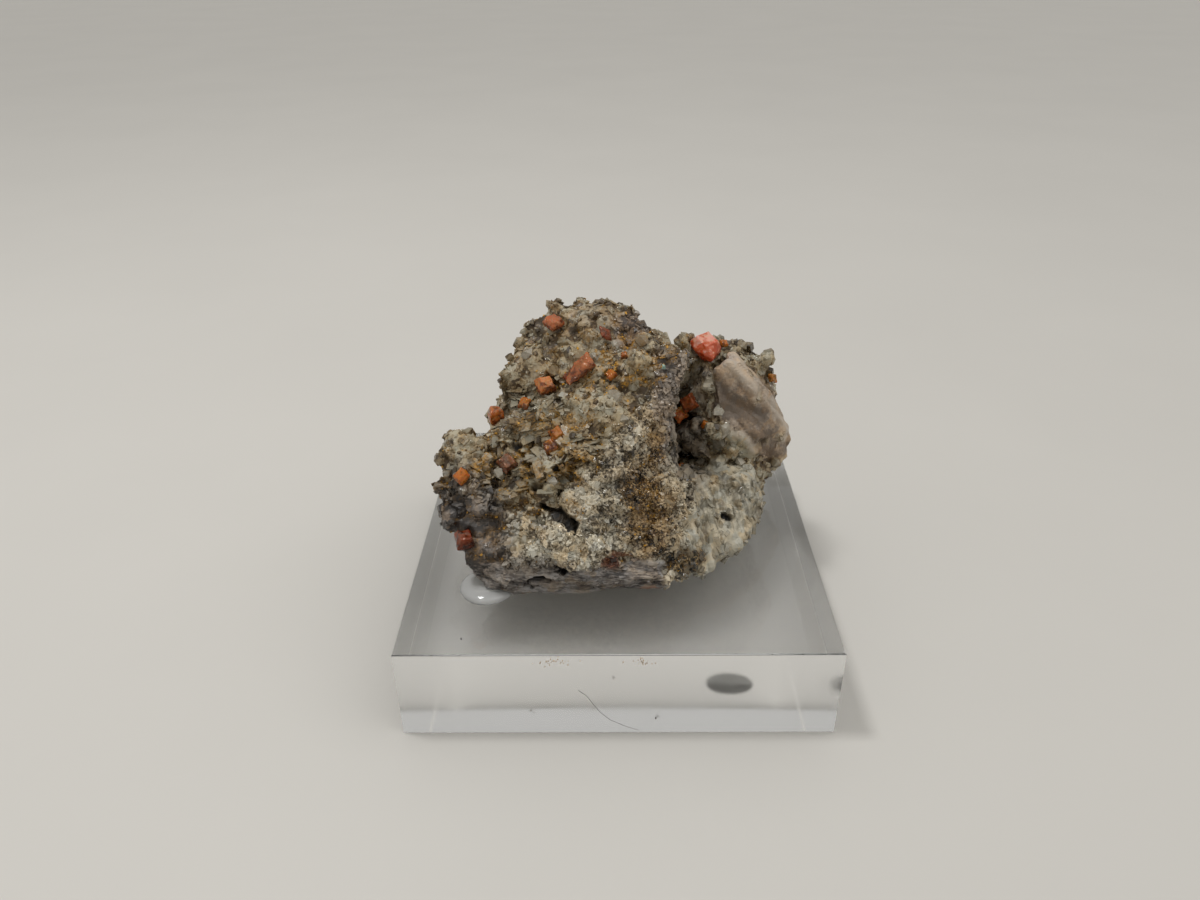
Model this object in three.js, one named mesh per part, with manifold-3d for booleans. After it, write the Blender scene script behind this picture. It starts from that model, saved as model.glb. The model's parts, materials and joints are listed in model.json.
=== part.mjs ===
// Wulfenite crystals on a quartz stone, glued to a clear square display block.
// Millimetres, +Z up. The origin is the middle of the block's underside, and the stone is seen from -Y.
import * as THREE from "three";
import { ConvexGeometry } from "three/addons/geometries/ConvexGeometry.js";
import { ImprovedNoise } from "three/addons/math/ImprovedNoise.js";
import { MeshSurfaceSampler } from "three/addons/math/MeshSurfaceSampler.js";
import { TessellateModifier } from "three/addons/modifiers/TessellateModifier.js";
import { mergeVertices } from "three/addons/utils/BufferGeometryUtils.js";
import Module from "manifold-3d";

const wasm = await Module();
wasm.setup();

// Driving dimensions
const BASE_SIDE = 50;
const BASE_THICK = 12;
const BASE_CHAMFER = 0.35;
const DOT_RADIUS = 3.4; // clear glue dot, seen from above
const DOT_HEIGHT = 0.9;
const SEAT_GAP = 0.3; // left between a crystal and its socket, and under the stone
const LUMP_ROUGH = 1; // how far the broken surface rises and falls
const EYE = new THREE.Vector3(-1, -98.4, 81.1); // where the stone is looked at from, to seat its crystals

// Random numbers that are the same on every run
function seeded(seed) {
  let state = seed >>> 0;
  return () => {
    state = (Math.imul(state, 1664525) + 1013904223) >>> 0;
    return state / 2 ** 32;
  };
}

// Solids from three.js geometry, and back
function bareGeometry(geometry) {
  const bare = geometry.index ? geometry.toNonIndexed() : geometry.clone();
  for (const name of Object.keys(bare.attributes)) {
    if (name !== "position") bare.deleteAttribute(name);
  }
  return mergeVertices(bare, 1e-3);
}

function solidOf(geometry) {
  const bare = bareGeometry(geometry);
  return new wasm.Manifold(
    new wasm.Mesh({
      numProp: 3,
      vertProperties: bare.attributes.position.array,
      triVerts: new Uint32Array(bare.index.array),
    }),
  );
}

function geometryOf(solid) {
  const mesh = solid.getMesh();
  const geometry = new THREE.BufferGeometry();
  geometry.setAttribute("position", new THREE.BufferAttribute(mesh.vertProperties, 3));
  geometry.setIndex(new THREE.BufferAttribute(mesh.triVerts, 1));
  geometry.computeVertexNormals();
  return geometry;
}

// The largest body of a solid, without loose chips or closed bubbles
function outerShell(solid) {
  const bodies = solid.decompose();
  return bodies.reduce((best, body) => (body.volume() > best.volume() ? body : best));
}

function hullOf(corners) {
  return new ConvexGeometry(corners.map((corner) => new THREE.Vector3(...corner)));
}

// A broken lump: the hull of its corners, cut into small facets that rise and fall
const noise = new ImprovedNoise();

function roughness(p) {
  const coarse = noise.noise(p.x / 4.7 + 11.3, p.y / 4.7, p.z / 4.7);
  const fine = noise.noise(p.x / 1.9, p.y / 1.9 + 7.7, p.z / 1.9);
  return 0.8 * coarse + 1.1 * fine;
}

function lump({ corners, edge, rough = LUMP_ROUGH }) {
  const facets = bareGeometry(new TessellateModifier(edge, 12).modify(hullOf(corners)));
  facets.computeVertexNormals();
  const place = facets.attributes.position;
  const normal = facets.attributes.normal;
  const p = new THREE.Vector3();
  const n = new THREE.Vector3();
  for (let i = 0; i < place.count; i++) {
    p.fromBufferAttribute(place, i);
    n.fromBufferAttribute(normal, i);
    p.addScaledVector(n, rough * roughness(p));
    place.setXYZ(i, p.x, p.y, p.z);
  }
  return solidOf(facets);
}

// The stone's lumps, as the corners of each one
const FOOT_Z = BASE_THICK + SEAT_GAP;

const UPPER_BLOCK = [
  [-7.4, 9.6, 39.8], [-2, 12, 39], [2, 9.6, 39.2], [5, 5.6, 37.8], // crest
  [-11.5, 8, 37.3], [-14.7, 3.2, 32.7], [-15, 1.6, 27.5], [-14.8, 6, 22], // left side
  [-9, 1.4, 31.4], [-2, 2.4, 35.4], [7, 2, 36.4], [6.4, 1, 32], [0, 1, 31], // front
  [6.6, 7, 29], [6.5, 12, 30], [6, 14, 13], // right side
  [-11, 17, 29], [0, 19, 29], [-13.5, 15, 14], [-12, 17, 18], [0, 19.6, 13.4], // back
];

const FRONT_SLAB = [
  [-15.4, -0.5, 27.2], [-11.4, -0.6, 29.8], [-8, 0.5, 32], // top
  [-3.5, 1.6, 34.4], [3, 1.7, 35.6], [8.3, 0.5, 36.7],
  [8, -4.5, 28], [8.9, -11, 18.6], [10, -13.7, 14.3], // right edge
  [4.6, -15, 14], [-2, -15.2, 14.6], [-8.6, -15, 14.4], [-14.6, -14.6, 14], // foot
  [-13, -14, 18.5], [-7, -12.6, 22.4], [-1, -9.4, 27], // front face
  [-17.3, -13.2, 16], [-18.2, -11, 20], [-18.6, -4.5, 24.4], // left side
  [-17, 4, 14], [6.5, 5, 13], [6.5, 5, 33], [-12, 5, 27], // back
];

const LAYERED_STRIP = [
  [-15, -15.2, 12], [-15.6, -15, 13.6], [-8, -15.8, 15.4], [-1, -15.7, 15.6], [4, -15.6, 15.2], // front edge
  [6.4, -15, 14.4], [8.6, -13.8, 14], [-8.4, -15, 13], [-1, -14.8, 13.4], [5, -14.6, 13], // lower edge
  [-17, -12.6, 14.4], [-16, -8, 12], [8, -8, 13], [-12, -10, 17], [6, -10, 17], // behind
];

const SUGARY_TIER = [
  [-15.6, -14.6, 15], [-11.6, -15, 18.2], [-9.4, -13.8, 21.2], [-7.4, -13, 22.6], // upper edge
  [-4.4, -13.4, 20.6], [-1, -14.4, 17.6], [2, -15, 15.6],
  [-13, -15.8, 14.6], [-4, -15.9, 15], // lower edge
  [-13, -8, 16], [0, -8, 18], [-6, -8, 21], // behind
];

const LEFT_KNOB = [
  [-20.6, -10.5, 19], [-22.2, -7.5, 22.5], [-21.4, -4.5, 25.2], [-19.6, -2.4, 26.8], // outer side
  [-15, -1.6, 27], [-18.5, -9, 24.8], [-14.6, -7.6, 25.4], [-15, -11, 22.6], // top
  [-17.4, -12, 17.4], [-19.4, -4, 16], [-15, -5, 15], // underside
];

const RIGHT_LOBE = [
  [10.6, 9, 34], [13.8, 13.5, 33.4], [18, 12.5, 32.4], [21, 10.5, 29], [22.6, 7.5, 21], // top and right
  [21.4, 6.5, 15], [13, 5, 20], [12.2, 5.4, 28], [13, 3.5, 15], // front
  [11, 20, 26], [19, 18.5, 23], [10, 20.5, 13], [20.5, 17.5, 13], // back
];

const PALE_FOOT = [
  [7, -13.4, 14.4], [10.6, -13, 13.6], [14.8, -6.8, 13], [18.2, -3.8, 15.2], [18, 1, 19], // outer edge
  [9, -3, 20.6], [8, -10, 18.5], [14, -1.5, 20.2], // top
  [20, 9, 13], [7, 9, 13], [7, 8, 18], [18, 8, 18], // back
];

const BACK_WALL = [
  [3, 11, 14], [15, 10.5, 14], [4, 11.5, 31], [13, 12, 29],
  [3, 18.5, 14], [14, 20, 14], [4, 18, 28], [13, 19, 26],
];

const GREAT_CRYSTAL = [
  [12.6, 5.4, 32], [16, 6.4, 32.6], [15.2, 9, 32.6], // pointed end
  [19.6, 6.2, 29], [22.4, 7.2, 24.6], [23.8, 7.4, 20.6], // right side
  [22.6, 6.2, 16.6], [18, 3.4, 17], // lower end
  [13.4, 3.6, 25.5], [18.6, 3.4, 22.6], // front ridge
  [21, 11, 25], [21.4, 10, 16.5], [15, 9, 17], // back
];

// A pyramid-shaped quartz crystal that stands up at the right end of the crest
const CREST_PEAK = [
  [2, 8.4, 40.2], [3, 7.6, 39.6], [-0.4, 6.2, 37.4], [4.6, 6, 36.6], [1.6, 4, 35.4], [0, 10, 36], [4, 10, 36],
];

// Spaces cut out of the stone
const HOLLOW = [
  [8, -1.4, 34.4], [6.3, -4.2, 31.2], [5.8, -7, 27.8], [6.9, -9, 24.6], [9, -8, 22.4], // edge on the block
  [9.6, 3, 36.4], [11.8, 3, 33], [13, -2, 29], [12.8, -4, 24], [10.6, -6, 30], // edge on the lobe
  [7, 9.5, 20], [11, 5.6, 20], [7, 9.5, 30], [10.6, 5.6, 32], [8, 0, 19.4], [11.6, 1, 19.6], // back and floor
];

const PITS = [
  { from: [-9.6, -13.4, 22.4], to: [-5, -13.6, 18.8], wide: 0.9, deep: 3.4 }, // open hole in the sugary part
  { from: [-18.6, -13, 18], to: [-11.4, -14.6, 20.2], wide: 1.5, deep: 1.5 }, // recess under the knob
  { from: [-8.2, -9.4, 25.4], to: [-4.6, -9.6, 25.2], wide: 0.5, deep: 1.8 }, // slits between plates
  { from: [-7.6, -10.2, 24], to: [-4.4, -10.2, 23.6], wide: 0.5, deep: 1.6 },
  { from: [-12.4, -16, 13.8], to: [-7.4, -16, 14.2], wide: 0.4, deep: 1.2 }, // slots in the layered strip
  { from: [-6, -16, 15], to: [-3.4, -16, 14.6], wide: 0.35, deep: 1 },
  { from: [2.4, -15.8, 14.8], to: [5.4, -15.6, 14.6], wide: 0.35, deep: 1 },
];

// A pit is a flat lens between two ends, sunk along the line of sight
function pit({ from, to, wide, deep }) {
  const start = new THREE.Vector3(...from);
  const end = new THREE.Vector3(...to);
  const along = end.clone().sub(start).normalize();
  const inward = start.clone().add(end).multiplyScalar(0.5).sub(EYE).normalize();
  const across = along.clone().cross(inward).normalize();
  const corners = [];
  for (const [share, spread] of [[0, 0.5], [0.3, 1], [0.75, 0.9], [1, 0.4]]) {
    for (const side of [-1, 1]) {
      for (const sink of [-deep, deep]) {
        const narrow = sink > 0 ? 0.6 : 1.1;
        const p = start.clone().lerp(end, share);
        p.addScaledVector(across, side * wide * spread * narrow).addScaledVector(inward, sink);
        corners.push(p.toArray());
      }
    }
  }
  return solidOf(hullOf(corners));
}

// Quartz that grew with the stone: six-sided points, by their foot, the way they stand, radius and length
const QUARTZ_POINTS = [
  { at: [-14, 3.4, 32.6], axis: [-1, -0.3, 0.4], radius: 1, length: 1.2 }, // nub on the left side
  { at: [-7.6, 9.6, 39.2], axis: [-0.2, 0, 1], radius: 1.3, length: 1.1 }, // crest
  { at: [-4.4, 10.6, 39], axis: [0.2, 0.1, 1], radius: 1.2, length: 1.1 },
  { at: [-0.8, 10.4, 38.8], axis: [0.1, -0.1, 1], radius: 1.1, length: 1.1 },
  { at: [-20.4, -4.6, 25.4], axis: [-0.5, 0, 0.9], radius: 1.2, length: 1.6 }, // knob
  { at: [-18.4, -3.4, 26.2], axis: [-0.1, 0.2, 1], radius: 1, length: 1.3 },
  { at: [9.8, 9.6, 33.4], axis: [-0.4, -0.1, 1], radius: 1.2, length: 2 }, // top of the lobe
  { at: [16.6, 12.4, 32.2], axis: [0.1, -0.3, 1], radius: 1.6, length: 2.1 },
  { at: [19.4, 11.2, 30.2], axis: [0.5, -0.2, 0.8], radius: 1.5, length: 2 },
  { at: [13.8, 12, 32.6], axis: [-0.2, 0, 1], radius: 1.3, length: 1.8 },
  { at: [10.2, 6.6, 21.4], axis: [-0.4, -0.8, 0.5], radius: 1.4, length: 2.2 }, // inside the hollow
  { at: [11.2, 5.6, 23.4], axis: [-0.7, -0.6, 0.3], radius: 1.3, length: 2 },
  { at: [11.8, 4.6, 20.4], axis: [-0.5, -0.7, 0.5], radius: 1.2, length: 2 },
  { at: [13.2, 4.4, 23.4], axis: [-0.5, -0.7, 0.6], radius: 1.2, length: 2.6 }, // beside the great crystal
  { at: [15, 4, 20.6], axis: [0, -0.8, 0.7], radius: 1.3, length: 2.2 },
  { at: [13.4, 3.4, 19.4], axis: [-0.2, -0.8, 0.6], radius: 1.2, length: 2.2 },
  { at: [17, 3, 18], axis: [0.1, -0.8, 0.6], radius: 1.4, length: 2.2 },
];

// Columns of pale quartz that run down the right foot
const COLUMNS = [
  { from: [8.7, -5.8, 20.2], to: [9.6, -12.2, 14.8], radius: 1.4 },
  { from: [10.4, -4, 20.2], to: [11.7, -9.6, 14.4], radius: 1.5 },
  { from: [12.3, -2.6, 20], to: [14.2, -6.8, 14], radius: 1.5 },
  { from: [14.4, -1.6, 19.6], to: [16.5, -4.2, 14.6], radius: 1.4 },
  { from: [16.2, 0, 19.2], to: [17.7, -2.4, 15.6], radius: 1.2 },
];

// The druse: many small points, spread over the parts of the stone that are not broken
const DRUSE_COUNT = 24;
const DRUSE_SPACING = 4;
const DRUSE_RADIUS = [1.1, 1.9];
const DRUSE_LENGTH = [0.8, 1.5];
const BROKEN_SIDE = new THREE.Plane(new THREE.Vector3(0.765, -0.324, -0.556), 15); // the front right is broken

function quartzPoint({ at, axis, radius, length, turn = 0 }) {
  const corners = [];
  for (let i = 0; i < 6; i++) {
    const angle = (i * Math.PI) / 3;
    const x = radius * Math.cos(angle);
    const y = radius * Math.sin(angle);
    const slant = i % 2 ? 0.5 : 0.38;
    corners.push([x, y, -0.7 * radius - length * 0.5], [x * 0.92, y * 0.92, length * slant]);
  }
  corners.push([radius * 0.12, 0, length]);
  return solidOf(stand(hullOf(corners), at, axis, turn));
}

// Turns a shape about its own +Z, stands that +Z along an axis and moves it to its place
function stand(geometry, at, axis, turn) {
  const up = new THREE.Vector3(0, 0, 1);
  const lean = new THREE.Quaternion().setFromUnitVectors(up, new THREE.Vector3(...axis).normalize());
  return geometry.rotateZ(turn).applyQuaternion(lean).translate(...at);
}

function column({ from, to, radius }) {
  const start = new THREE.Vector3(...from);
  const along = new THREE.Vector3(...to).sub(start);
  const length = along.length();
  const corners = [];
  for (let i = 0; i < 6; i++) {
    const x = radius * Math.cos((i * Math.PI) / 3);
    const y = radius * Math.sin((i * Math.PI) / 3);
    for (const [share, height] of [[0.5, -0.1], [1, 0.1], [1, 0.9], [0.6, 1]]) {
      corners.push([x * share, y * share, height * length]);
    }
  }
  return solidOf(stand(hullOf(corners), from, along.toArray(), 0.4));
}

function carriesDruse(p) {
  const broken = p.y < 2 && p.x < 10 && BROKEN_SIDE.distanceToPoint(p) > 0;
  const hollow = p.x > 5.6 && p.x < 13 && p.y < 11 && p.z > 17 && p.z < 33;
  const smoothOrPale = p.x > 7 && p.y < 8.5 && p.z < 32.5;
  const near = ({ at, wide }) => p.distanceTo(new THREE.Vector3(...at)) < wide + 1;
  const taken = Object.values(WULFENITE).flat().some(near);
  return p.z > 14.5 && !broken && !hollow && !smoothOrPale && !taken;
}

function druse(stone) {
  const random = seeded(41);
  const between = ([low, high]) => low + (high - low) * random();
  const surface = new THREE.Mesh(geometryOf(stone));
  const sampler = new MeshSurfaceSampler(surface).setRandomGenerator(random).build();
  const p = new THREE.Vector3();
  const n = new THREE.Vector3();
  const kept = [];
  const points = [];
  for (let tries = 0; tries < 4000 && points.length < DRUSE_COUNT; tries++) {
    sampler.sample(p, n);
    if (!carriesDruse(p) || n.z < -0.3) continue;
    if (kept.some((other) => other.distanceTo(p) < DRUSE_SPACING)) continue;
    kept.push(p.clone());
    const axis = n.clone().add(new THREE.Vector3(random() - 0.5, random() - 0.5, random() - 0.3));
    points.push(
      quartzPoint({
        at: p.toArray(),
        axis: axis.toArray(),
        radius: between(DRUSE_RADIUS),
        length: between(DRUSE_LENGTH),
        turn: random() * Math.PI,
      }),
    );
  }
  return points;
}

// The lumps with the longest facet edge of each: short where the surface is rough, long where it is smooth
const LUMPS = [
  { corners: UPPER_BLOCK, edge: 3.9 },
  { corners: FRONT_SLAB, edge: 3.3 },
  { corners: LEFT_KNOB, edge: 2.8 },
  { corners: SUGARY_TIER, edge: 2.4 },
  { corners: RIGHT_LOBE, edge: 4.6 },
  { corners: PALE_FOOT, edge: 4.8, rough: 0.6 },
  { corners: BACK_WALL, edge: 5 },
  { corners: LAYERED_STRIP, edge: 5, rough: 0.35 },
  { corners: GREAT_CRYSTAL, edge: 6, rough: 0.15 },
  { corners: CREST_PEAK, edge: 4, rough: 0.25 },
];

function stoneBody() {
  let stone = LUMPS.map(lump).reduce((whole, part) => whole.add(part));
  stone = outerShell(stone.subtract(lump({ corners: HOLLOW, edge: 4, rough: 0.5 })));
  for (const point of druse(stone)) stone = stone.add(point);
  for (const shape of QUARTZ_POINTS) stone = stone.add(quartzPoint(shape));
  for (const shape of COLUMNS) stone = stone.add(column(shape));
  for (const shape of PITS) stone = stone.subtract(pit(shape));
  return stone;
}

// Wulfenite: square plates and blocks with bevelled edges, by their middle, the way they face and their turn
const WULFENITE = {
  crest: [{ at: [-7.75, 6.5, 38.1], wide: 2.1, thick: 1.3, axis: [0.05, -0.2, 1], turn: 0.75 }],
  crest_plate: [{ at: [-1.2, 4, 37.6], wide: 1.7, thick: 0.5, axis: [0.6, -0.25, 0.7], turn: 0.3 }],
  row_long: [
    { at: [-3.7, 1, 34.9], wide: 2.1, thick: 1.4, axis: [-0.5, -0.6, 0.6], turn: 0.35 },
    { at: [-5.4, 0.7, 33.6], wide: 2.1, thick: 0.55, axis: [-0.55, -0.3, 0.75], turn: 0.5 },
  ],
  row_block: [{ at: [-8.75, 1.2, 32], wide: 2.1, thick: 1.8, axis: [0.3, -0.5, 0.8], turn: 0.5 }],
  row_lozenge: [{ at: [-11.2, -0.8, 30.5], wide: 1.5, thick: 0.9, axis: [-0.6, -0.4, 0.7], turn: 0.8 }],
  edge_block: [{ at: [-15, 0.2, 28.3], wide: 1.75, thick: 2.1, axis: [0.1, 0.1, 1], turn: 0.35 }],
  middle_pair: [
    { at: [-7.2, -5.1, 28.6], wide: 1.5, thick: 1.3, axis: [0.2, -0.5, 0.8], turn: 0.7 },
    { at: [-7.8, -6.3, 27.6], wide: 1.6, thick: 1.3, axis: [-0.3, -0.6, 0.7], turn: 0.3 },
  ],
  knob: [{ at: [-18.3, -8.8, 25], wide: 1.6, thick: 1.3, axis: [-0.3, -0.5, 0.8], turn: 0.7 }],
  recess: [{ at: [-18, -12.8, 18.7], wide: 2, thick: 2.2, axis: [0.2, -0.3, 0.95], turn: 0.4 }],
  slab_brown: [{ at: [-13.1, -6.9, 25.7], wide: 1.9, thick: 1.5, axis: [0.2, -0.6, 0.75], turn: 0.8 }],
  amber_upper: [{ at: [1, 1.4, 35.9], wide: 0.9, thick: 0.7, axis: [0, -0.4, 0.9], turn: 0.2 }],
  amber_lower: [{ at: [-0.6, -0.4, 34.1], wide: 1.2, thick: 0.9, axis: [-0.3, -0.5, 0.8], turn: 0.5 }],
  lobe_great: [
    { at: [11.7, 8.9, 33.8], wide: 2.9, thick: 2.5, axis: [0.1, -0.35, 0.93], turn: 0.6 },
    { at: [12, 8.4, 33.2], wide: 2.6, thick: 1.5, axis: [0.35, -0.2, 0.9], turn: 1.1 },
  ],
  hollow_bright: [{ at: [8.6, 7.6, 24.4], wide: 1.7, thick: 1.3, axis: [0.2, -0.8, 0.5], turn: 0.7 }],
  hollow_dark: [{ at: [9.6, 6.6, 26.6], wide: 2, thick: 1.6, axis: [-0.3, -0.8, 0.5], turn: 0.3 }],
  hollow_small: [{ at: [11.8, 4.8, 24.2], wide: 1.1, thick: 0.9, axis: [-0.6, -0.7, 0.3], turn: 0.6 }],
  rim_small: [{ at: [8.6, 2, 19.5], wide: 1, thick: 0.8, axis: [0.1, -0.3, 0.9], turn: 0.6 }],
  lobe_amber: [{ at: [21, 9.8, 28.6], wide: 1.1, thick: 0.9, axis: [0.5, -0.6, 0.5], turn: 0.4 }],
  lobe_small: [{ at: [14.3, 10.4, 33.4], wide: 1, thick: 0.8, axis: [0.2, -0.5, 0.8], turn: 0.3 }],
};
const BEVEL = 0.3; // how much narrower the square faces are than the middle

function tabular({ at, wide, thick, axis, turn }, clearance = 0) {
  const corners = [];
  for (const [height, share] of [[-0.5, 1 - BEVEL], [-0.12, 1], [0.12, 1], [0.5, 1 - BEVEL]]) {
    for (const x of [-0.5, 0.5]) {
      for (const y of [-0.5, 0.5]) {
        const side = (wide + 2 * clearance) * share;
        corners.push([x * side, y * side, height * (thick + 2 * clearance)]);
      }
    }
  }
  return solidOf(stand(hullOf(corners), at, axis, turn));
}

function grown(forms, clearance = 0) {
  return forms.map((form) => tabular(form, clearance)).reduce((whole, form) => whole.add(form));
}

// Clear glue between the stone and the block: low round drops
const DOTS = { front: [-15.6, -13.3], back: [16, 11.6] };

function glueDot([x, y], clearance = 0) {
  const corners = [];
  for (const [height, share] of [[0, 0.97], [0.3, 1], [0.75, 0.85], [1, 0.5]]) {
    for (let i = 0; i < 18; i++) {
      const angle = (i * Math.PI) / 9;
      const radius = DOT_RADIUS * share + clearance;
      const z = BASE_THICK + height * DOT_HEIGHT + (height > 0 ? clearance : -clearance);
      corners.push([x + radius * Math.cos(angle), y + radius * Math.sin(angle), z]);
    }
  }
  return solidOf(hullOf(corners));
}

function material(color, roughness, opacity = 1) {
  const transparent = opacity < 1;
  return new THREE.MeshStandardMaterial({ color, roughness, metalness: 0, opacity, transparent });
}

function piece(name, geometry, finish) {
  const mesh = new THREE.Mesh(geometry, finish);
  mesh.name = name;
  return mesh;
}

function acrylicBase() {
  const half = BASE_SIDE / 2;
  const corners = [];
  for (const x of [-half, half]) {
    for (const y of [-half, half]) {
      for (const z of [0, BASE_THICK]) {
        const inX = x - Math.sign(x) * BASE_CHAMFER;
        const inY = y - Math.sign(y) * BASE_CHAMFER;
        const inZ = z === 0 ? BASE_CHAMFER : z - BASE_CHAMFER;
        corners.push([x, inY, inZ], [inX, y, inZ], [inX, inY, z]);
      }
    }
  }
  return hullOf(corners);
}

// The stone with a socket for each crystal and a hollow for each glue dot
function seatedStone() {
  let stone = stoneBody();
  for (const forms of Object.values(WULFENITE)) stone = stone.subtract(grown(forms, SEAT_GAP));
  for (const spot of Object.values(DOTS)) stone = stone.subtract(glueDot(spot, SEAT_GAP));
  const under = new THREE.BoxGeometry(BASE_SIDE, BASE_SIDE, BASE_THICK);
  under.translate(0, 0, FOOT_Z - BASE_THICK / 2);
  return outerShell(stone.subtract(solidOf(under)));
}

const group = new THREE.Group();
group.add(piece("acrylic_base", acrylicBase(), material(0xe4e6e4, 0.05, 0.3)));
group.add(piece("quartz_matrix", geometryOf(seatedStone()), material(0x8a857b, 0.7)));
for (const [name, spot] of Object.entries(DOTS)) {
  group.add(piece(`glue_dot_${name}`, geometryOf(glueDot(spot)), material(0xf2f2ee, 0.1, 0.35)));
}
for (const [name, forms] of Object.entries(WULFENITE)) {
  group.add(piece(`wulfenite_${name}`, geometryOf(grown(forms)), material(0xc8522a, 0.2)));
}
export default group;
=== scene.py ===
import json
import math

import bmesh
import bpy
import numpy as np
from mathutils import Matrix, Vector
from mathutils.kdtree import KDTree

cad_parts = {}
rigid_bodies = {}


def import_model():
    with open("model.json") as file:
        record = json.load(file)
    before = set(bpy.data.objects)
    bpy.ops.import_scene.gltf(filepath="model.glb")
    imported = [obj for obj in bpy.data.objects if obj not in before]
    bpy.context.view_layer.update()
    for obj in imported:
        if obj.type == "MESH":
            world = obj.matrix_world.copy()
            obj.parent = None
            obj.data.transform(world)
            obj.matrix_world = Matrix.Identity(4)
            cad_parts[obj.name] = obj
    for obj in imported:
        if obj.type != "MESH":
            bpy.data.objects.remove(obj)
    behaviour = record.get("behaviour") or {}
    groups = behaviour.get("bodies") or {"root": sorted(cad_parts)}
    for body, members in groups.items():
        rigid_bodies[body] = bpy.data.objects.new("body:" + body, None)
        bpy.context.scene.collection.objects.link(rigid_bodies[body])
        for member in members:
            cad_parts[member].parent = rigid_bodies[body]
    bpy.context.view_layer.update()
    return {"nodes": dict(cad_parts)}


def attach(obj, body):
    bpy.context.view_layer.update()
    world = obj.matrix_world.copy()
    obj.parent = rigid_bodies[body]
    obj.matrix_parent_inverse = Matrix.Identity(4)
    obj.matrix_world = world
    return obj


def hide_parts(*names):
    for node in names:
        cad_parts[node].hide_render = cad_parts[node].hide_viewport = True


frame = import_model()
nodes = frame["nodes"]
mm = 0.001


# Repeatable noise, in millimetres
hashPrimes = (73856093, 19349663, 83492791)  # large odd numbers that mix the three indices of a cell


def hashed(cells, seed, count=1):  # chance values of each cell, 0 to 1
    n = cells.astype(np.int64).astype(np.uint64)
    a, b, c = (n[..., k] * np.uint64(prime) for k, prime in enumerate(hashPrimes))
    h = a ^ b ^ c ^ np.uint64(seed * 2654435761 % 2**63)
    values = []
    for _ in range(count + 1):
        h = h * np.uint64(6364136223846793005) + np.uint64(1442695040888963407)
        h = h ^ (h >> np.uint64(31))
        values.append((h >> np.uint64(40)).astype(float) / 2**24)
    return np.stack(values[1:], -1)


def waves(points, size, seed):  # smooth noise, -1 to 1
    q = np.asarray(points) / size
    low = np.floor(q)
    f = q - low
    f = f * f * f * (f * (f * 6 - 15) + 10)
    total = np.zeros(len(q))
    for dx, dy, dz in np.ndindex(2, 2, 2):
        share = np.abs(1 - dx - f[:, 0]) * np.abs(1 - dy - f[:, 1]) * np.abs(1 - dz - f[:, 2])
        total += share * hashed(low + [dx, dy, dz], seed)[:, 0]
    return total * 2 - 1


def crystals(points, size, seed):  # upper faces of crowded six-sided crystals: height and a tone for each
    q = np.asarray(points) / size
    low = np.floor(q) - 1
    height = np.full(len(q), -9.0)
    tone = np.zeros(len(q))
    for step in np.ndindex(3, 3, 3):
        cell = low + step
        luck = hashed(cell, seed, 7)
        x, y, z = (q - cell - luck[:, :3]).T
        turn, lean = luck[:, 3] * 2 * math.pi, luck[:, 4] * math.pi
        x, y = x * np.cos(turn) + y * np.sin(turn), y * np.cos(turn) - x * np.sin(turn)
        y, z = y * np.cos(lean) + z * np.sin(lean), np.abs(z * np.cos(lean) - y * np.sin(lean))
        side = np.maximum(np.abs(y), np.abs(0.866 * x) + 0.5 * np.abs(y))  # a hexagon
        top = 0.55 * luck[:, 5] - 0.85 * np.maximum(side, 0.62 * side + 0.6 * z)  # prism and point
        higher = top > height
        height = np.where(higher, top, height)
        tone = np.where(higher, luck[:, 6], tone)
    return (height + 0.1) * size, tone


def ease(x):
    x = np.clip(x, 0, 1)
    return x * x * (3 - 2 * x)


def blob(points, centre, radii, soft=0.35):
    away = np.linalg.norm((points - np.array(centre)) / np.array(radii), axis=1)
    return ease((1 + soft - away) / (2 * soft))


# Meshes and pieces
def placesOf(mesh):
    flat = np.empty(len(mesh.vertices) * 3, np.float32)
    mesh.vertices.foreach_get("co", flat)
    return flat.reshape(-1, 3).astype(float) / mm


def movePlaces(mesh, places):
    mesh.vertices.foreach_set("co", (places * mm).astype(np.float32).ravel())
    mesh.update()


def facingOf(mesh):
    flat = np.empty(len(mesh.vertices) * 3, np.float32)
    mesh.vertex_normals.foreach_get("vector", flat)
    return flat.reshape(-1, 3).astype(float)


def keepValues(mesh, name, values):
    layer = mesh.attributes.new(name, "FLOAT", "POINT")
    layer.data.foreach_set("value", np.asarray(values, np.float32))


def newPiece(name, mesh):
    piece = bpy.data.objects.new(name, mesh)
    bpy.context.scene.collection.objects.link(piece)
    return piece


def mended(mesh):
    work = bmesh.new()
    work.from_mesh(mesh)
    bmesh.ops.remove_doubles(work, verts=work.verts, dist=1e-7)
    bmesh.ops.recalc_face_normals(work, faces=work.faces)
    work.to_mesh(mesh)
    work.free()
    return mesh


def baked(piece):
    graph = bpy.context.evaluated_depsgraph_get()
    mesh = bpy.data.meshes.new_from_object(piece.evaluated_get(graph))
    piece.modifiers.clear()
    piece.data = mesh
    return piece


def remeshed(piece, voxel):
    even = piece.modifiers.new("even", "REMESH")
    even.mode = "VOXEL"
    even.voxel_size = voxel * mm
    return baked(piece)


def nodeMesh(name):
    mesh = mended(nodes[name].data.copy())
    mesh.materials.clear()
    return mesh


def meshFrom(name, work):
    mesh = bpy.data.meshes.new(name)
    work.to_mesh(mesh)
    work.free()
    return mesh


def hullMesh(name, corners):
    work = bmesh.new()
    for corner in corners:
        work.verts.new(Vector(corner) * mm)
    made = bmesh.ops.convex_hull(work, input=work.verts)
    unused = made["geom_interior"] + made["geom_unused"]
    inner = {part for part in unused if isinstance(part, bmesh.types.BMVert)}
    bmesh.ops.delete(work, geom=list(inner), context="VERTS")
    bmesh.ops.recalc_face_normals(work, faces=work.faces)
    return meshFrom(name, work)


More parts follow.
